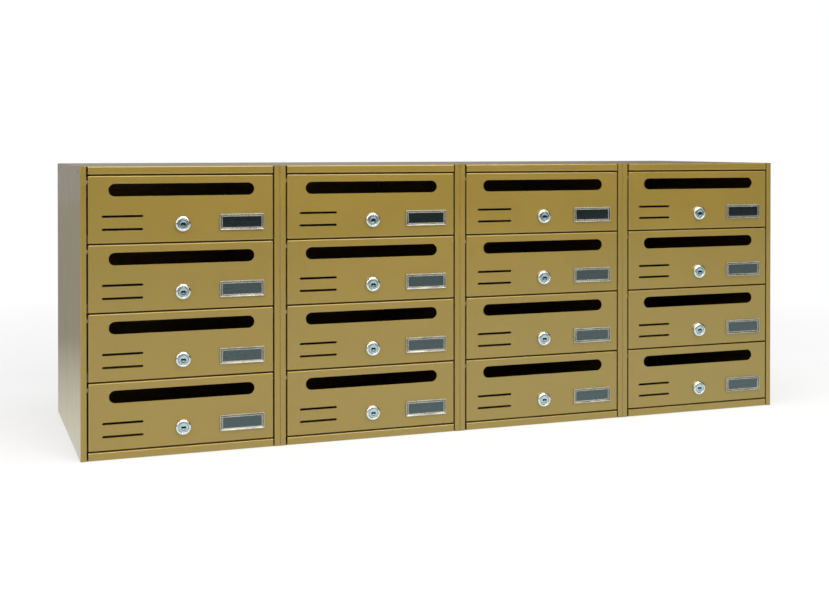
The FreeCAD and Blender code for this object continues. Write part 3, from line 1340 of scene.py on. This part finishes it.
@dataclass
class NamePlate:
    """Plastic name plate: stepped rim with two pegs, clear window and blank card."""

    width: float = 64 * MM
    height: float = 23 * MM
    depth: float = 3 * MM
    from_door_right: float = 13.5 * MM
    above_bottom: float = 26.5 * MM
    corner: float = 0.8 * MM
    rim: float = 4.0 * MM
    ledge: float = 1.0 * MM
    window_thickness: float = 1.2 * MM
    card_thickness: float = 0.5 * MM
    peg: float = 2.4 * MM
    peg_length: float = 3.0 * MM
    peg_inset: float = 1.5 * MM
    peg_nose: float = 0.4 * MM
    outer_crest: float = 1.1 * MM
    inner_crest: float = 0.9 * MM
    inner_crest_depth: float = 2.25 * MM
    groove_depth: float = 1.9 * MM
    step: float = 0.2 * MM
    step_swell: Pair = (0.5, 0.7)
    rim_break: float = 0.06 * MM
    pane_corner: float = 0.4 * MM
    pane_break: float = 0.05 * MM
    edge_angle: float = 40.0

    @classmethod
    def peg_offsets(cls) -> Pair:
        """Place of each peg along X, from the plate's middle."""
        reach = cls.width / 2 - cls.peg_inset
        return -reach, reach

    def rim_profile(self) -> Outline:
        """Section of the rim: outer crest, slope into a groove, inner crest and window pocket.

        Returns:
            Inset and place along Y of each corner, in order.
        """
        front, groove, inner = -self.depth, -self.groove_depth, -self.inner_crest_depth
        pocket = self.rim - self.ledge
        seat = -(self.window_thickness + self.card_thickness)
        step = self.step
        crest_start = self.rim - self.inner_crest
        return [
            (0.0, 0.0),
            (0.0, front + 2 * step),
            (self.step_swell[0] * step, front + self.step_swell[1] * step),
            (2 * step, front),
            (self.outer_crest, front),
            (crest_start - 2 * step, groove),
            (crest_start - step, groove),
            (crest_start, inner),
            (self.rim - step, inner),
            (self.rim, inner + step),
            (self.rim, seat),
            (pocket, seat),
            (pocket, 0.0),
        ]

    def rim_template(self) -> Piece:
        """Moulded rim with the two pegs that hold it to the door.

        Returns:
            The rim about the plate's middle.
        """
        shells = [framed(self.width, self.height, self.corner, self.rim_profile())]
        radius, length, nose = self.peg / 2, self.peg_length, self.peg_nose
        profile = [(0.0, 0.0), (radius, 0.0), (radius, length - nose), (radius - nose, length), (0.0, length)]
        for offset in self.peg_offsets():
            shells.append(moved(turned(profile, Axis.Y, PEG_STEPS), x=offset))
        return softened(as_object(merged(shells), "plate_rim"), self.rim_break, 1, self.edge_angle)

    def pane_template(self, start: float, end: float) -> Piece:
        """Flat pane that fills the rim's pocket.

        Args:
            start: Front face along Y.
            end: Back face along Y.

        Returns:
            The pane about the plate's middle.
        """
        inset = 2 * (self.rim - self.ledge)
        outline = rounded_rectangle(self.width - inset, self.height - inset, self.pane_corner)
        pane = as_object(prism(outline, start, end), "plate_pane")
        return softened(pane, self.pane_break, 1, self.edge_angle)

    def build(self, finishes: Finishes) -> None:
        """Fit a name plate to every door.

        Args:
            finishes: Materials of the object.
        """
        seat = self.window_thickness + self.card_thickness
        parts = {
            "rim": (self.rim_template(), finishes.rim),
            "window": (self.pane_template(-seat, -self.card_thickness), finishes.window),
            "card": (self.pane_template(-self.card_thickness, 0.0), finishes.card),
        }
        for part, (template, finish) in parts.items():
            template.data.materials.append(finish)
            for box in all_boxes():
                piece = copied(template, f"plate_{part}_{box.tag}", box.plate_centre)
                fitted(piece, box.door_body)
            discard(template)


@dataclass
class LockPiece:
    """One piece of the cam lock, ready to be fitted to every door."""

    name: str
    template: Piece
    finishes: Sequence[bpy.types.Material]
    turns: bool

    def fit(self) -> None:
        """Fit a copy to every door and remove the template."""
        for finish in self.finishes:
            self.template.data.materials.append(finish)
        for box in all_boxes():
            piece = copied(self.template, f"lock_{self.name}_{box.tag}", box.lock_centre)
            if self.turns:
                fitted(piece, box.lock_body, f"lock_core_{box.tag}")
            else:
                fitted(piece, box.door_body, f"door_fittings_{box.tag}")
        discard(self.template)


@dataclass
class CamLock:
    """Round cam lock: bezel and barrel on the door, plug, cam and screw that turn."""

    bezel_radius: float = 11.0 * MM
    bezel_height: float = 5.0 * MM
    bezel_round: float = 2.9 * MM
    bezel_round_steps: int = 8
    bezel_foot: float = 0.25 * MM
    bezel_steps: int = 72
    mouth_bevel: float = 0.8 * MM
    mouth_swell: Pair = (0.8, 0.1)
    plug_radius: float = 7.0 * MM
    plug_gap: float = 0.05 * MM
    plug_recess: float = 0.6 * MM
    plug_round: float = 0.45 * MM
    plug_shoulder: float = 0.12 * MM
    plug_steps: int = 64
    dish_depth: float = 0.22 * MM
    dish_rings: tuple[float, ...] = (0.0, 0.14, 0.28, 0.42, 0.55)
    dish_slope: float = 0.62
    dish_slope_depth: float = 0.05 * MM
    dish_rim: float = 0.70
    barrel_radius: float = 9.0 * MM
    barrel_flats: float = 16.0 * MM
    barrel_flats_start: float = 0.3 * MM
    barrel_end: float = 12.0 * MM
    thread_pitch: float = 1.0 * MM
    thread_depth: float = 0.35 * MM
    nut_flats: float = 24.0 * MM
    nut_thickness: float = 4.0 * MM
    nut_seat: float = 1.0 * MM
    nut_break: float = 0.5 * MM
    keyway_length: float = 6.4 * MM
    keyway_height: float = 1.6 * MM
    keyway_lobe: float = 2.8 * MM
    keyway_depth: float = 9.0 * MM
    keyway_lead: float = 0.3 * MM
    keyway_steps: int = 24
    keyway_shade_start: float = 0.35 * MM
    keyway_shade_margin: float = 0.1 * MM
    cam_front: float = 12.3 * MM
    cam_thickness: float = 2.0 * MM
    cam_reach: float = 19.5 * MM
    cam_width: float = 10.0 * MM
    cam_hub: float = 16.0 * MM
    cam_break: float = 0.2 * MM
    cam_hub_steps: int = 24
    cam_tip_steps: int = 12
    post: float = 8.0 * MM
    screw_head: float = 9.0 * MM
    screw_head_height: float = 2.5 * MM
    screw_side: float = 0.6 * MM
    screw_crown: float = 0.35
    screw_crown_steps: int = 5
    screw_steps: int = 40
    screw_break: float = 0.06 * MM
    cross_width: float = 0.9 * MM
    cross_reach: float = 2.4 * MM
    cross_depth: float = 1.2 * MM

    @property
    def face(self) -> float:
        """Place along Y of the plug's face."""
        return self.plug_recess - self.bezel_height

    @property
    def cam_back(self) -> float:
        """Place along Y of the cam's back."""
        return self.cam_front + self.cam_thickness

    def bezel(self) -> Piece:
        """Domed bezel with a chamfered mouth and a threaded barrel behind.

        Returns:
            The lock body about its axis, with the door's front at y = 0.
        """
        front = -self.bezel_height
        mouth = self.plug_radius + self.plug_gap
        dome = (self.bezel_radius - self.bezel_round, front + self.bezel_round)
        root = self.barrel_radius - self.thread_depth
        last_ridge = self.barrel_end - self.thread_pitch
        ridges = thread(root, self.barrel_radius, 0.0, last_ridge, self.thread_pitch)
        profile = [
            (mouth, self.barrel_end),
            (mouth, front + self.mouth_bevel),
            (mouth + self.mouth_swell[0] * self.mouth_bevel, front + self.mouth_swell[1] * self.mouth_bevel),
            (mouth + self.mouth_bevel, front),
            *arc(dome, self.bezel_round, -math.pi / 2, math.pi / 2, self.bezel_round_steps),
            (self.bezel_radius, -self.bezel_foot),
            (self.bezel_radius - self.bezel_foot, 0.0),
            *ridges,
            (root, ridges[-1][1] + self.thread_pitch / 2),
            (root, self.barrel_end),
            (mouth, self.barrel_end),
        ]
        body = as_object(turned(profile, Axis.Y, self.bezel_steps), "lock_bezel")
        return remeasured(crisp(self.flattened(body)))

    def flattened(self, body: Piece) -> Piece:
        """Mill the two flats on the barrel.

        Args:
            body: Turned lock body.

        Returns:
            The body with its flats.
        """
        half = self.bezel_radius / 2
        mills = []
        for side in (1, -1):
            slab = prism(rectangle(2 * half, half), self.barrel_flats_start, self.barrel_end + MM)
            mills.append(moved(slab, z=side * (self.barrel_flats / 2 + half)))
        return cut(body, as_object(merged(mills), "barrel_flats"))

    def nut(self) -> Piece:
        """Hexagon nut with chamfered corners, tight behind the door.

        Returns:
            The nut about the lock's axis.
        """
        end = self.nut_seat + self.nut_thickness
        block = as_object(prism(hexagon(self.nut_flats), self.nut_seat, end), "lock_nut")
        outline = regular(LOCK_STEPS, self.barrel_radius)
        bore = as_object(prism(outline, self.nut_seat - MM, end + MM), "nut_bore")
        return softened(cut(block, bore), self.nut_break)

    def plug(self) -> Piece:
        """Plug with a dished face, its keyway and a square post.

        Returns:
            The plug about the lock's axis, with the second material, a painted shade, on the keyway's walls.
        """
        face, rim = self.face, self.plug_radius
        profile = [
            *((rim * part, face + self.dish_depth) for part in self.dish_rings),
            (rim * self.dish_slope, face + self.dish_slope_depth),
            (rim * self.dish_rim, face),
            (rim - self.plug_round, face),
            (rim - self.plug_shoulder, face + self.plug_shoulder),
            (rim, face + self.plug_round),
            (rim, self.cam_front),
            (0.0, self.cam_front),
        ]
        plug = as_object(turned(profile, Axis.Y, self.plug_steps), "lock_plug")
        plug = self.keyed(plug, 0.0, face + self.keyway_depth)
        plug = self.keyed(plug, self.keyway_lead, face + 2 * self.keyway_lead)
        square = rectangle(self.post / 2, self.post / 2)
        post = as_object(prism(square, self.cam_front, self.cam_back), "post")
        plug = remeasured(crisp(joined(plug, post)))
        self.shade_keyway_walls(plug)
        return plug

    def keyed(self, plug: Piece, margin: float, end: float) -> Piece:
        """Cut the keyway, a slit with round ends, into the plug.

        Args:
            plug: Turned plug.
            margin: How far the cut is wider than the keyway, all round.
            end: Place along Y of the cut's floor.

        Returns:
            The plug with the cut.
        """
        start = -self.bezel_height - MM
        reach = (self.keyway_length - self.keyway_lobe) / 2
        slit = prism(rectangle(reach, self.keyway_height / 2 + margin), start, end)
        plug = cut(plug, as_object(slit, "keyway"))
        outline = regular(self.keyway_steps, self.keyway_lobe / 2 + margin)
        ends = [moved(prism(outline, start, end), x=side * reach) for side in (1, -1)]
        return cut(plug, as_object(merged(ends), "keyway_ends"))

    def shade_keyway_walls(self, plug: Piece) -> None:
        """Give the walls of the keyway the second finish of the plug, a near-black painted shade.

        Args:
            plug: Finished plug.
        """
        mouth = self.face + self.keyway_shade_start
        floor = self.face + self.keyway_depth + self.keyway_shade_margin
        reach = self.keyway_length / 2 + self.keyway_lead + self.keyway_shade_margin
        for polygon in plug.data.polygons:
            centre = polygon.center
            if mouth < centre.y < floor and math.hypot(centre.x, centre.z) < reach:
                polygon.material_index = 1

    def cam(self) -> Piece:
        """Flat cam with a round hub, pointing along +X.

        Returns:
            The cam about the lock's axis.
        """
        hub, half, square = self.cam_hub / 2, self.cam_width / 2, self.post / 2
        lean = math.asin(half / hub)
        outline = arc((0.0, 0.0), hub, lean, 2 * math.pi - 2 * lean, self.cam_hub_steps)
        outline += arc((self.cam_reach - half, 0.0), half, -math.pi / 2, math.pi, self.cam_tip_steps)
        plate = as_object(prism(outline, self.cam_front, self.cam_back), "lock_cam")
        hole = prism(rectangle(square, square), self.cam_front - MM, self.cam_back + MM)
        return softened(cut(plate, as_object(hole, "post_hole")), self.cam_break)

    def screw(self) -> Piece:
        """Pan head screw with a cross recess.

        Returns:
            The screw head about the lock's axis.
        """
        seat = self.cam_back
        top = seat + self.screw_head_height
        radius = self.screw_head / 2
        shoulder = seat + self.screw_side
        profile = [(0.0, seat), (radius, seat), (radius, shoulder)]
        for step in range(1, self.screw_crown_steps + 1):
            angle = math.pi / 2 * step / self.screw_crown_steps
            width = self.screw_crown + (1 - self.screw_crown) * math.cos(angle)
            profile.append((radius * width, shoulder + (top - shoulder) * math.sin(angle)))
        profile.append((0.0, top))
        head = as_object(turned(profile, Axis.Y, self.screw_steps), "cam_screw")
        half, reach = self.cross_width / 2, self.cross_reach
        for outline in (rectangle(reach, half), rectangle(half, reach)):
            arm = prism(outline, top - self.cross_depth, top + MM)
            head = cut(head, as_object(arm, "cross_recess"))
        return softened(head, self.screw_break, 1)

    def build(self, finishes: Finishes) -> None:
        """Fit a lock to every door.

        Args:
            finishes: Materials of the object.
        """
        parts = (
            LockPiece("bezel", self.bezel(), [finishes.chrome], turns=False),
            LockPiece("nut", self.nut(), [finishes.zinc], turns=False),
            LockPiece("plug", self.plug(), [finishes.plug, finishes.keyway], turns=True),
            LockPiece("cam", self.cam(), [finishes.zinc], turns=True),
            LockPiece("screw", self.screw(), [finishes.zinc], turns=True),
        )
        for part in parts:
            part.fit()


@dataclass
class Hinges:
    """Headed pins in both stiles of every door, and the washers on the left-hand ones."""

    pin_radius: float = 2.0 * MM
    head_radius: float = 3.5 * MM
    head_length: float = 1.5 * MM
    head_break: float = 0.4 * MM
    nose: float = 0.8 * MM
    nose_bulge: Pair = (0.3 * MM, 0.2 * MM)
    washer_radius: float = 3.25 * MM
    washer_thickness: float = 1.6 * MM
    washer_break: float = 0.25 * MM
    stile: float = 8.5 * MM
    sheet: float = 1.0 * MM
    gap: float = 2.0 * MM
    end_length: float = 2.5 * MM

    def axis_start(self) -> Vector:
        """Point on the top left hinge axis, in the plane of the module's left edge.

        Returns:
            The place that the first pair of pins is set out from.
        """
        place = joint_place("door_hinge_r1c1")
        place.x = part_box("side_panels_left")[0][0]
        return place

    def pin(self, direction: int, origin: float) -> Shell:
        """One headed pin with a round nose.

        Args:
            direction: 1 for a pin that points right, -1 for one that points left.
            origin: Place along X that the stile is measured from.

        Returns:
            The pin on the X axis.
        """
        head_end = self.stile - self.sheet
        head_start = head_end - self.head_length
        tip = self.stile + self.gap + self.sheet + self.end_length
        shape = [
            (0.0, head_start),
            (self.head_radius - self.head_break, head_start),
            (self.head_radius, head_start + self.head_break),
            (self.head_radius, head_end),
            (self.pin_radius, head_end),
            (self.pin_radius, tip - self.nose),
            (self.pin_radius - self.nose_bulge[0], tip - self.nose_bulge[1]),
            (self.pin_radius - self.nose, tip),
            (0.0, tip),
        ]
        return turned([(radius, origin + direction * along) for radius, along in shape], Axis.X, PIN_STEPS)

    def washer(self) -> Shell:
        """Flat washer with softened edges, against the left stile.

        Returns:
            The washer on the X axis.
        """
        start, end = self.stile, self.stile + self.washer_thickness
        bore, rim, soft = self.pin_radius, self.washer_radius, self.washer_break
        profile = [
            (bore, start),
            (rim - soft, start),
            (rim, start + soft),
            (rim, end - soft),
            (rim - soft, end),
            (bore, end),
            (bore, start),
        ]
        return turned(profile, Axis.X, PIN_STEPS)

    def build(self, finishes: Finishes) -> None:
        """Set out the pins and washers over the whole bank.

        Args:
            finishes: Materials of the object.
        """
        across = module_step()
        grid = Scatter(self.axis_start(), COLUMNS, ROWS, across, row_step())
        pair = as_object(merged([self.pin(1, 0.0), self.pin(-1, across.x)]), "pin_pair")
        pins = grid.spread(crisp(pair), "hinge_pin_set", finishes.steel)
        fitted(pins, "cabinet", "hinge_pins")
        washer = as_object(self.washer(), "washer")
        washers = grid.spread(crisp(washer), "hinge_washer_set", finishes.nylon)
        fitted(washers, "cabinet", "hinge_washers")


@dataclass
class JoiningFasteners:
    """Bolts through the seams between modules, with their nuts."""

    sheet: float = 1.0 * MM
    shank: float = 5.0 * MM
    flats: float = 8.0 * MM
    head_height: float = 3.5 * MM
    nut_height: float = 4.0 * MM
    thread_end: float = 1.0 * MM
    pitch: float = 0.8 * MM
    thread_depth: float = 0.3 * MM
    edge_break: float = 0.35 * MM
    bolts_per_seam: int = 2

    def bolt(self) -> Piece:
        """Hexagon bolt about the seam, with its head to the right.

        Returns:
            The bolt along the X axis.
        """
        crest, root = self.shank / 2, self.shank / 2 - self.thread_depth
        end = -(self.sheet + self.nut_height + self.thread_end)
        profile = [
            (0.0, end),
            *thread(root, crest, end, -self.sheet, self.pitch),
            (crest, 0.0),
            (crest, self.sheet),
            (0.0, self.sheet),
        ]
        shank = as_object(turned(profile, Axis.X, PIN_STEPS), "bolt_shank")
        block = prism(hexagon(self.flats), self.sheet, self.sheet + self.head_height)
        head = softened(as_object(along_x(block), "bolt_head"), self.edge_break)
        return crisp(joined(head, shank))

    def nut(self) -> Piece:
        """Hexagon nut to the left of the seam.

        Returns:
            The nut along the X axis.
        """
        start, end = -self.sheet - self.nut_height, -self.sheet
        block = as_object(along_x(prism(hexagon(self.flats), start, end)), "joining_nut")
        outline = regular(PIN_STEPS, self.shank / 2)
        bore = as_object(along_x(prism(outline, start - MM, end + MM)), "nut_bore")
        return crisp(softened(cut(block, bore), self.edge_break))

    def build(self, finishes: Finishes) -> None:
        """Set out the bolts and nuts over the seams.

        Args:
            finishes: Materials of the object.
        """
        low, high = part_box("joining_nuts")
        half = self.flats / math.sqrt(3)
        across = module_step()
        start = Vector((CAD_BOX[0][0] + across.x, low.y + half, (low.z + high.z) / 2))
        backward = Vector((0.0, high.y - low.y - 2 * half, 0.0))
        grid = Scatter(start, COLUMNS - 1, self.bolts_per_seam, across, backward)
        for node, template in (("joining_bolts", self.bolt()), ("joining_nuts", self.nut())):
            fasteners = grid.spread(template, f"{node}_set", finishes.zinc)
            fitted(fasteners, "cabinet", node)


@dataclass
class Cabinet:
    """Folded panels of the modules, with the long edges of each sheet broken so that the seams show."""

    edge_break: float = 0.3 * MM
    edge_steps: int = 2
    shortest_edge: float = 4.0 * MM
    sharp: float = 40.0
    flat: float = 0.2
    skin: float = 0.1 * MM
    panels: tuple[str, ...] = (
        "side_panels_left",
        "side_panels_right",
        "top_panels",
        "bottom_panels",
        "back_panels",
        "shelves_under_row_1",
        "shelves_under_row_2",
        "shelves_under_row_3",
    )

    def module_sheet(self, whole: Shell, column: int) -> Shell:
        """Take one module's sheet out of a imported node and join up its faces.

        Args:
            whole: Loose faces of the same panel of every module.
            column: Module, counted from 1 at the left.

        Returns:
            The sheet with whole flat faces.
        """
        left = CAD_BOX[0][0]
        step = (CAD_BOX[1][0] - left) / COLUMNS
        sheet = whole.copy()
        sheet.normal_update()
        others = []
        for face in sheet.faces:
            inside = face.calc_center_median() - face.normal * self.skin
            if int((inside.x - left) / step) + 1 != column:
                others.append(face)
        bmesh.ops.delete(sheet, geom=others, context="FACES")
        bmesh.ops.remove_doubles(sheet, verts=sheet.verts, dist=FALLEN_TOGETHER)
        limit = math.radians(self.flat)
        bmesh.ops.dissolve_limit(sheet, angle_limit=limit, verts=sheet.verts, edges=sheet.edges)
        return sheet

    def is_long_outer(self, edge: bmesh.types.BMEdge) -> bool:
        """Whether an edge is one of the long sharp outer ones of its sheet.

        Args:
            edge: Edge of a closed sheet.

        Returns:
            True for an edge to break.
        """
        if not edge.is_manifold or edge.calc_length() <= self.shortest_edge:
            return False
        return edge.calc_face_angle_signed() > math.radians(self.sharp)

    def build(self, finishes: Finishes) -> None:
        """Dress the panels of every module.

        Args:
            finishes: Materials of the object.
        """
        for node in self.panels:
            whole = bmesh.new()
            whole.from_mesh(frame["nodes"][node].data)
            sheets = [self.module_sheet(whole, column) for column in range(1, COLUMNS + 1)]
            whole.free()
            for sheet in sheets:
                edges = [edge for edge in sheet.edges if self.is_long_outer(edge)]
                bevelled(sheet, edges, self.edge_break, self.edge_steps)
            panel = crisp(as_object(merged(sheets), f"{node}_sheets"))
            panel.data.materials.append(finishes.paint)
            fitted(panel, "cabinet", node)


# Studio


@dataclass(frozen=True)
class Lamp:
    """One soft lamp of the studio."""

    job: LampJob
    place: tuple[float, float, float]
    size: Pair
    power: float

    def hang(self, aim: Vector) -> None:
        """Hang the lamp.

        Args:
            aim: Point that it faces.
        """
        data = bpy.data.lights.new(self.job.value, "AREA")
        data.shape = "RECTANGLE"
        data.size, data.size_y = self.size
        data.energy = self.power
        lamp = bpy.data.objects.new(self.job.value, data)
        lamp.location = self.place
        lamp.rotation_euler = (aim - lamp.location).to_track_quat("-Z", "Y").to_euler()
        bpy.context.collection.objects.link(lamp)


@dataclass
class Studio:
    """Camera, soft lamps, pale floor and white surroundings.

    The pairs are stretches along X or Y, or away from the bank for the fade: in metres on the floor, and
    as parts of a direction in the room.
    """

    image_width: int = 829
    camera_place: tuple[float, float, float] = (-0.735, -1.9635, 0.431)
    camera_turn: float = 0.3545
    camera_dip: float = 0.009
    focal_pixels: float = 1274.3
    horizon_pixels: float = -141.8
    sensor: float = 36.0
    ambient_front: float = 0.12
    ambient_back: float = 0.36
    ambient_turn: Pair = (-0.5, 0.5)
    right_shade: float = 0.15
    right_shade_edge: Pair = (0.3, 0.8)
    front_tint: Colour = (0.92, 1.0, 1.0)
    side_tint: Colour = (1.0, 0.98, 0.86)
    floor_tint: Colour = (0.87, 1.0, 1.0)
    tint_edge: Pair = (-0.3, 0.1)
    floor_size: float = 16.0
    floor_drop: float = 0.4 * MM
    floor_tones: tuple[Colour, Colour] = ((0.92, 0.92, 0.92), (0.95, 0.95, 0.95))
    floor_roughness: float = 0.9
    floor_white: float = 0.6
    floor_fade: Pair = (0.7, 1.8)
    mirrored_far: Pair = (-5.0, -2.4)
    mirrored_near: Pair = (-2.4, -0.4)
    mirrored_behind: Pair = (-0.2, 1.0)
    mirrored_glow: float = 0.65
    mirrored_lift: float = 0.27
    aim: tuple[float, float, float] = (0.0, 0.0, 0.2)
    lamps: tuple[Lamp, ...] = (
        Lamp(LampJob.KEY, place=(0.1, -3.0, 2.6), size=(3.6, 1.8), power=108.0),
        Lamp(LampJob.FILL, place=(1.7, -2.7, 1.5), size=(2.0, 1.2), power=14.0),
        Lamp(LampJob.SIDE, place=(-2.4, -1.5, 1.6), size=(2.4, 2.2), power=25.0),
        Lamp(LampJob.TOP, place=(0.0, -0.3, 2.4), size=(2.6, 1.2), power=30.0),
    )

    def camera(self) -> None:
        """Place the camera at the photograph's angle."""
        data = bpy.data.cameras.new("photo_camera")
        data.sensor_width = self.sensor
        data.lens = self.focal_pixels * self.sensor / self.image_width
        data.shift_y = self.horizon_pixels / self.image_width
        camera = bpy.data.objects.new("photo_camera", data)
        camera.location = self.camera_place
        camera.rotation_euler = (math.pi / 2 - self.camera_dip, 0.0, -self.camera_turn)
        bpy.context.collection.objects.link(camera)
        bpy.context.scene.camera = camera

    @staticmethod
    def seen_rays(graph: NodeGraph) -> NodeSocket:
        """Value that is one for what the camera sees, straight or through the clear windows."""
        path = graph.add("ShaderNodeLightPath").outputs
        return graph.math("MAXIMUM", path["Is Camera Ray"], path["Is Transmission Ray"])

    def surroundings(self) -> None:
        """White surroundings for the camera, grey light from a room that is darker in front for the rest."""
        world = bpy.data.worlds.new("white_room")
        bpy.context.scene.world = world
        world.use_nodes = True
        graph = NodeGraph(world.node_tree)
        graph.tree.nodes.clear()
        around = graph.add("ShaderNodeTexCoord").outputs["Generated"]
        direction = graph.add("ShaderNodeSeparateXYZ", {0: around}).outputs
        room = graph.span(direction["Y"], *self.ambient_turn, self.ambient_front, self.ambient_back)
        shade = graph.span(direction["X"], *self.right_shade_edge, 1.0, self.right_shade)
        seen = self.seen_rays(graph)
        front = graph.span(direction["Y"], *self.tint_edge, 1.0, 0.0)
        tinted = graph.math("MULTIPLY", front, graph.math("SUBTRACT", 1.0, seen))
        feeds = {
            "Color": graph.blend(tinted, opaque(WHITE), opaque(self.front_tint)),
            "Strength": graph.math("MAXIMUM", seen, graph.math("MULTIPLY", room, shade)),
        }
        background = graph.add("ShaderNodeBackground", feeds)
        graph.add("ShaderNodeOutputWorld", {"Surface": background.outputs[0]})

    def floor_glow(self, shader: Shader, place: NodeSocket, mirrored: NodeSocket) -> NodeSocket:
        """Light of the floor: white for the camera, and for mirrors brighter towards the bank's foot.

        Args:
            shader: Shader of the floor.
            place: Object coordinates of the floor.
            mirrored: Value that is one where a piece mirrors the floor.

        Returns:
            The glowing surface.
        """
        y = shader.add("ShaderNodeSeparateXYZ", {0: place}).outputs["Y"]
        far = shader.span(y, *self.mirrored_far, self.ambient_front, self.mirrored_glow)
        near = shader.math("ADD", far, shader.span(y, *self.mirrored_near, 0.0, self.mirrored_lift))
        behind = shader.span(y, *self.mirrored_behind, 1.0, self.ambient_back)
        bright = shader.math("MULTIPLY", near, behind)
        front = shader.span(y, *self.tint_edge, 1.0, 0.0)
        tinted = shader.blend(front, opaque(self.side_tint), opaque(self.floor_tint))
        strength = shader.add("ShaderNodeMix", {0: mirrored, 2: 1.0, 3: bright}, data_type="FLOAT")
        feeds = {"Color": shader.blend(mirrored, opaque(WHITE), tinted), "Strength": strength.outputs[0]}
        return shader.add("ShaderNodeEmission", feeds).outputs[0]

    def floor(self) -> None:
        """Pale floor that keeps the object's shadow and fades into the white surroundings."""
        bm = bmesh.new()
        bmesh.ops.create_grid(bm, x_segments=1, y_segments=1, size=self.floor_size / 2)
        floor = as_object(moved(bm, z=-self.floor_drop), "studio_floor")
        shader = Shader("pale_floor")
        place = shader.coordinates()
        patches = shader.noise(place, scale=2.0, detail=2.0)
        tone = shader.blend(patches, *(opaque(tone) for tone in self.floor_tones))
        shader.set(Base_Color=tone, Roughness=self.floor_roughness)
        away = shader.add("ShaderNodeVectorMath", {0: place}, operation="LENGTH").outputs["Value"]
        white = shader.span(away, *self.floor_fade, self.floor_white, 1.0)
        seen = shader.math("MULTIPLY", self.seen_rays(shader), white)
        mirrored = shader.add("ShaderNodeLightPath").outputs["Is Glossy Ray"]
        feeds = {
            0: shader.math("MAXIMUM", seen, mirrored),
            1: shader.surface.outputs[0],
            2: self.floor_glow(shader, place, mirrored),
        }
        shader.feed(shader.output.inputs["Surface"], shader.add("ShaderNodeMixShader", feeds).outputs[0])
        floor.data.materials.append(shader.material)

    def build(self) -> None:
        """Set up the whole studio."""
        bpy.context.scene.view_settings.view_transform = "Standard"
        self.camera()
        self.surroundings()
        self.floor()
        for lamp in self.lamps:
            lamp.hang(Vector(self.aim))


def main() -> None:
    """Dress every sub-assembly, then set up the studio."""
    logging.basicConfig(level=logging.INFO, format="%(name)s: %(message)s")
    finishes = Finishes()
    for assembly in (Cabinet(), JoiningFasteners(), Hinges(), Door(), NamePlate(), CamLock()):
        assembly.build(finishes)
    Studio().build()


if __name__ == "__main__":
    main()
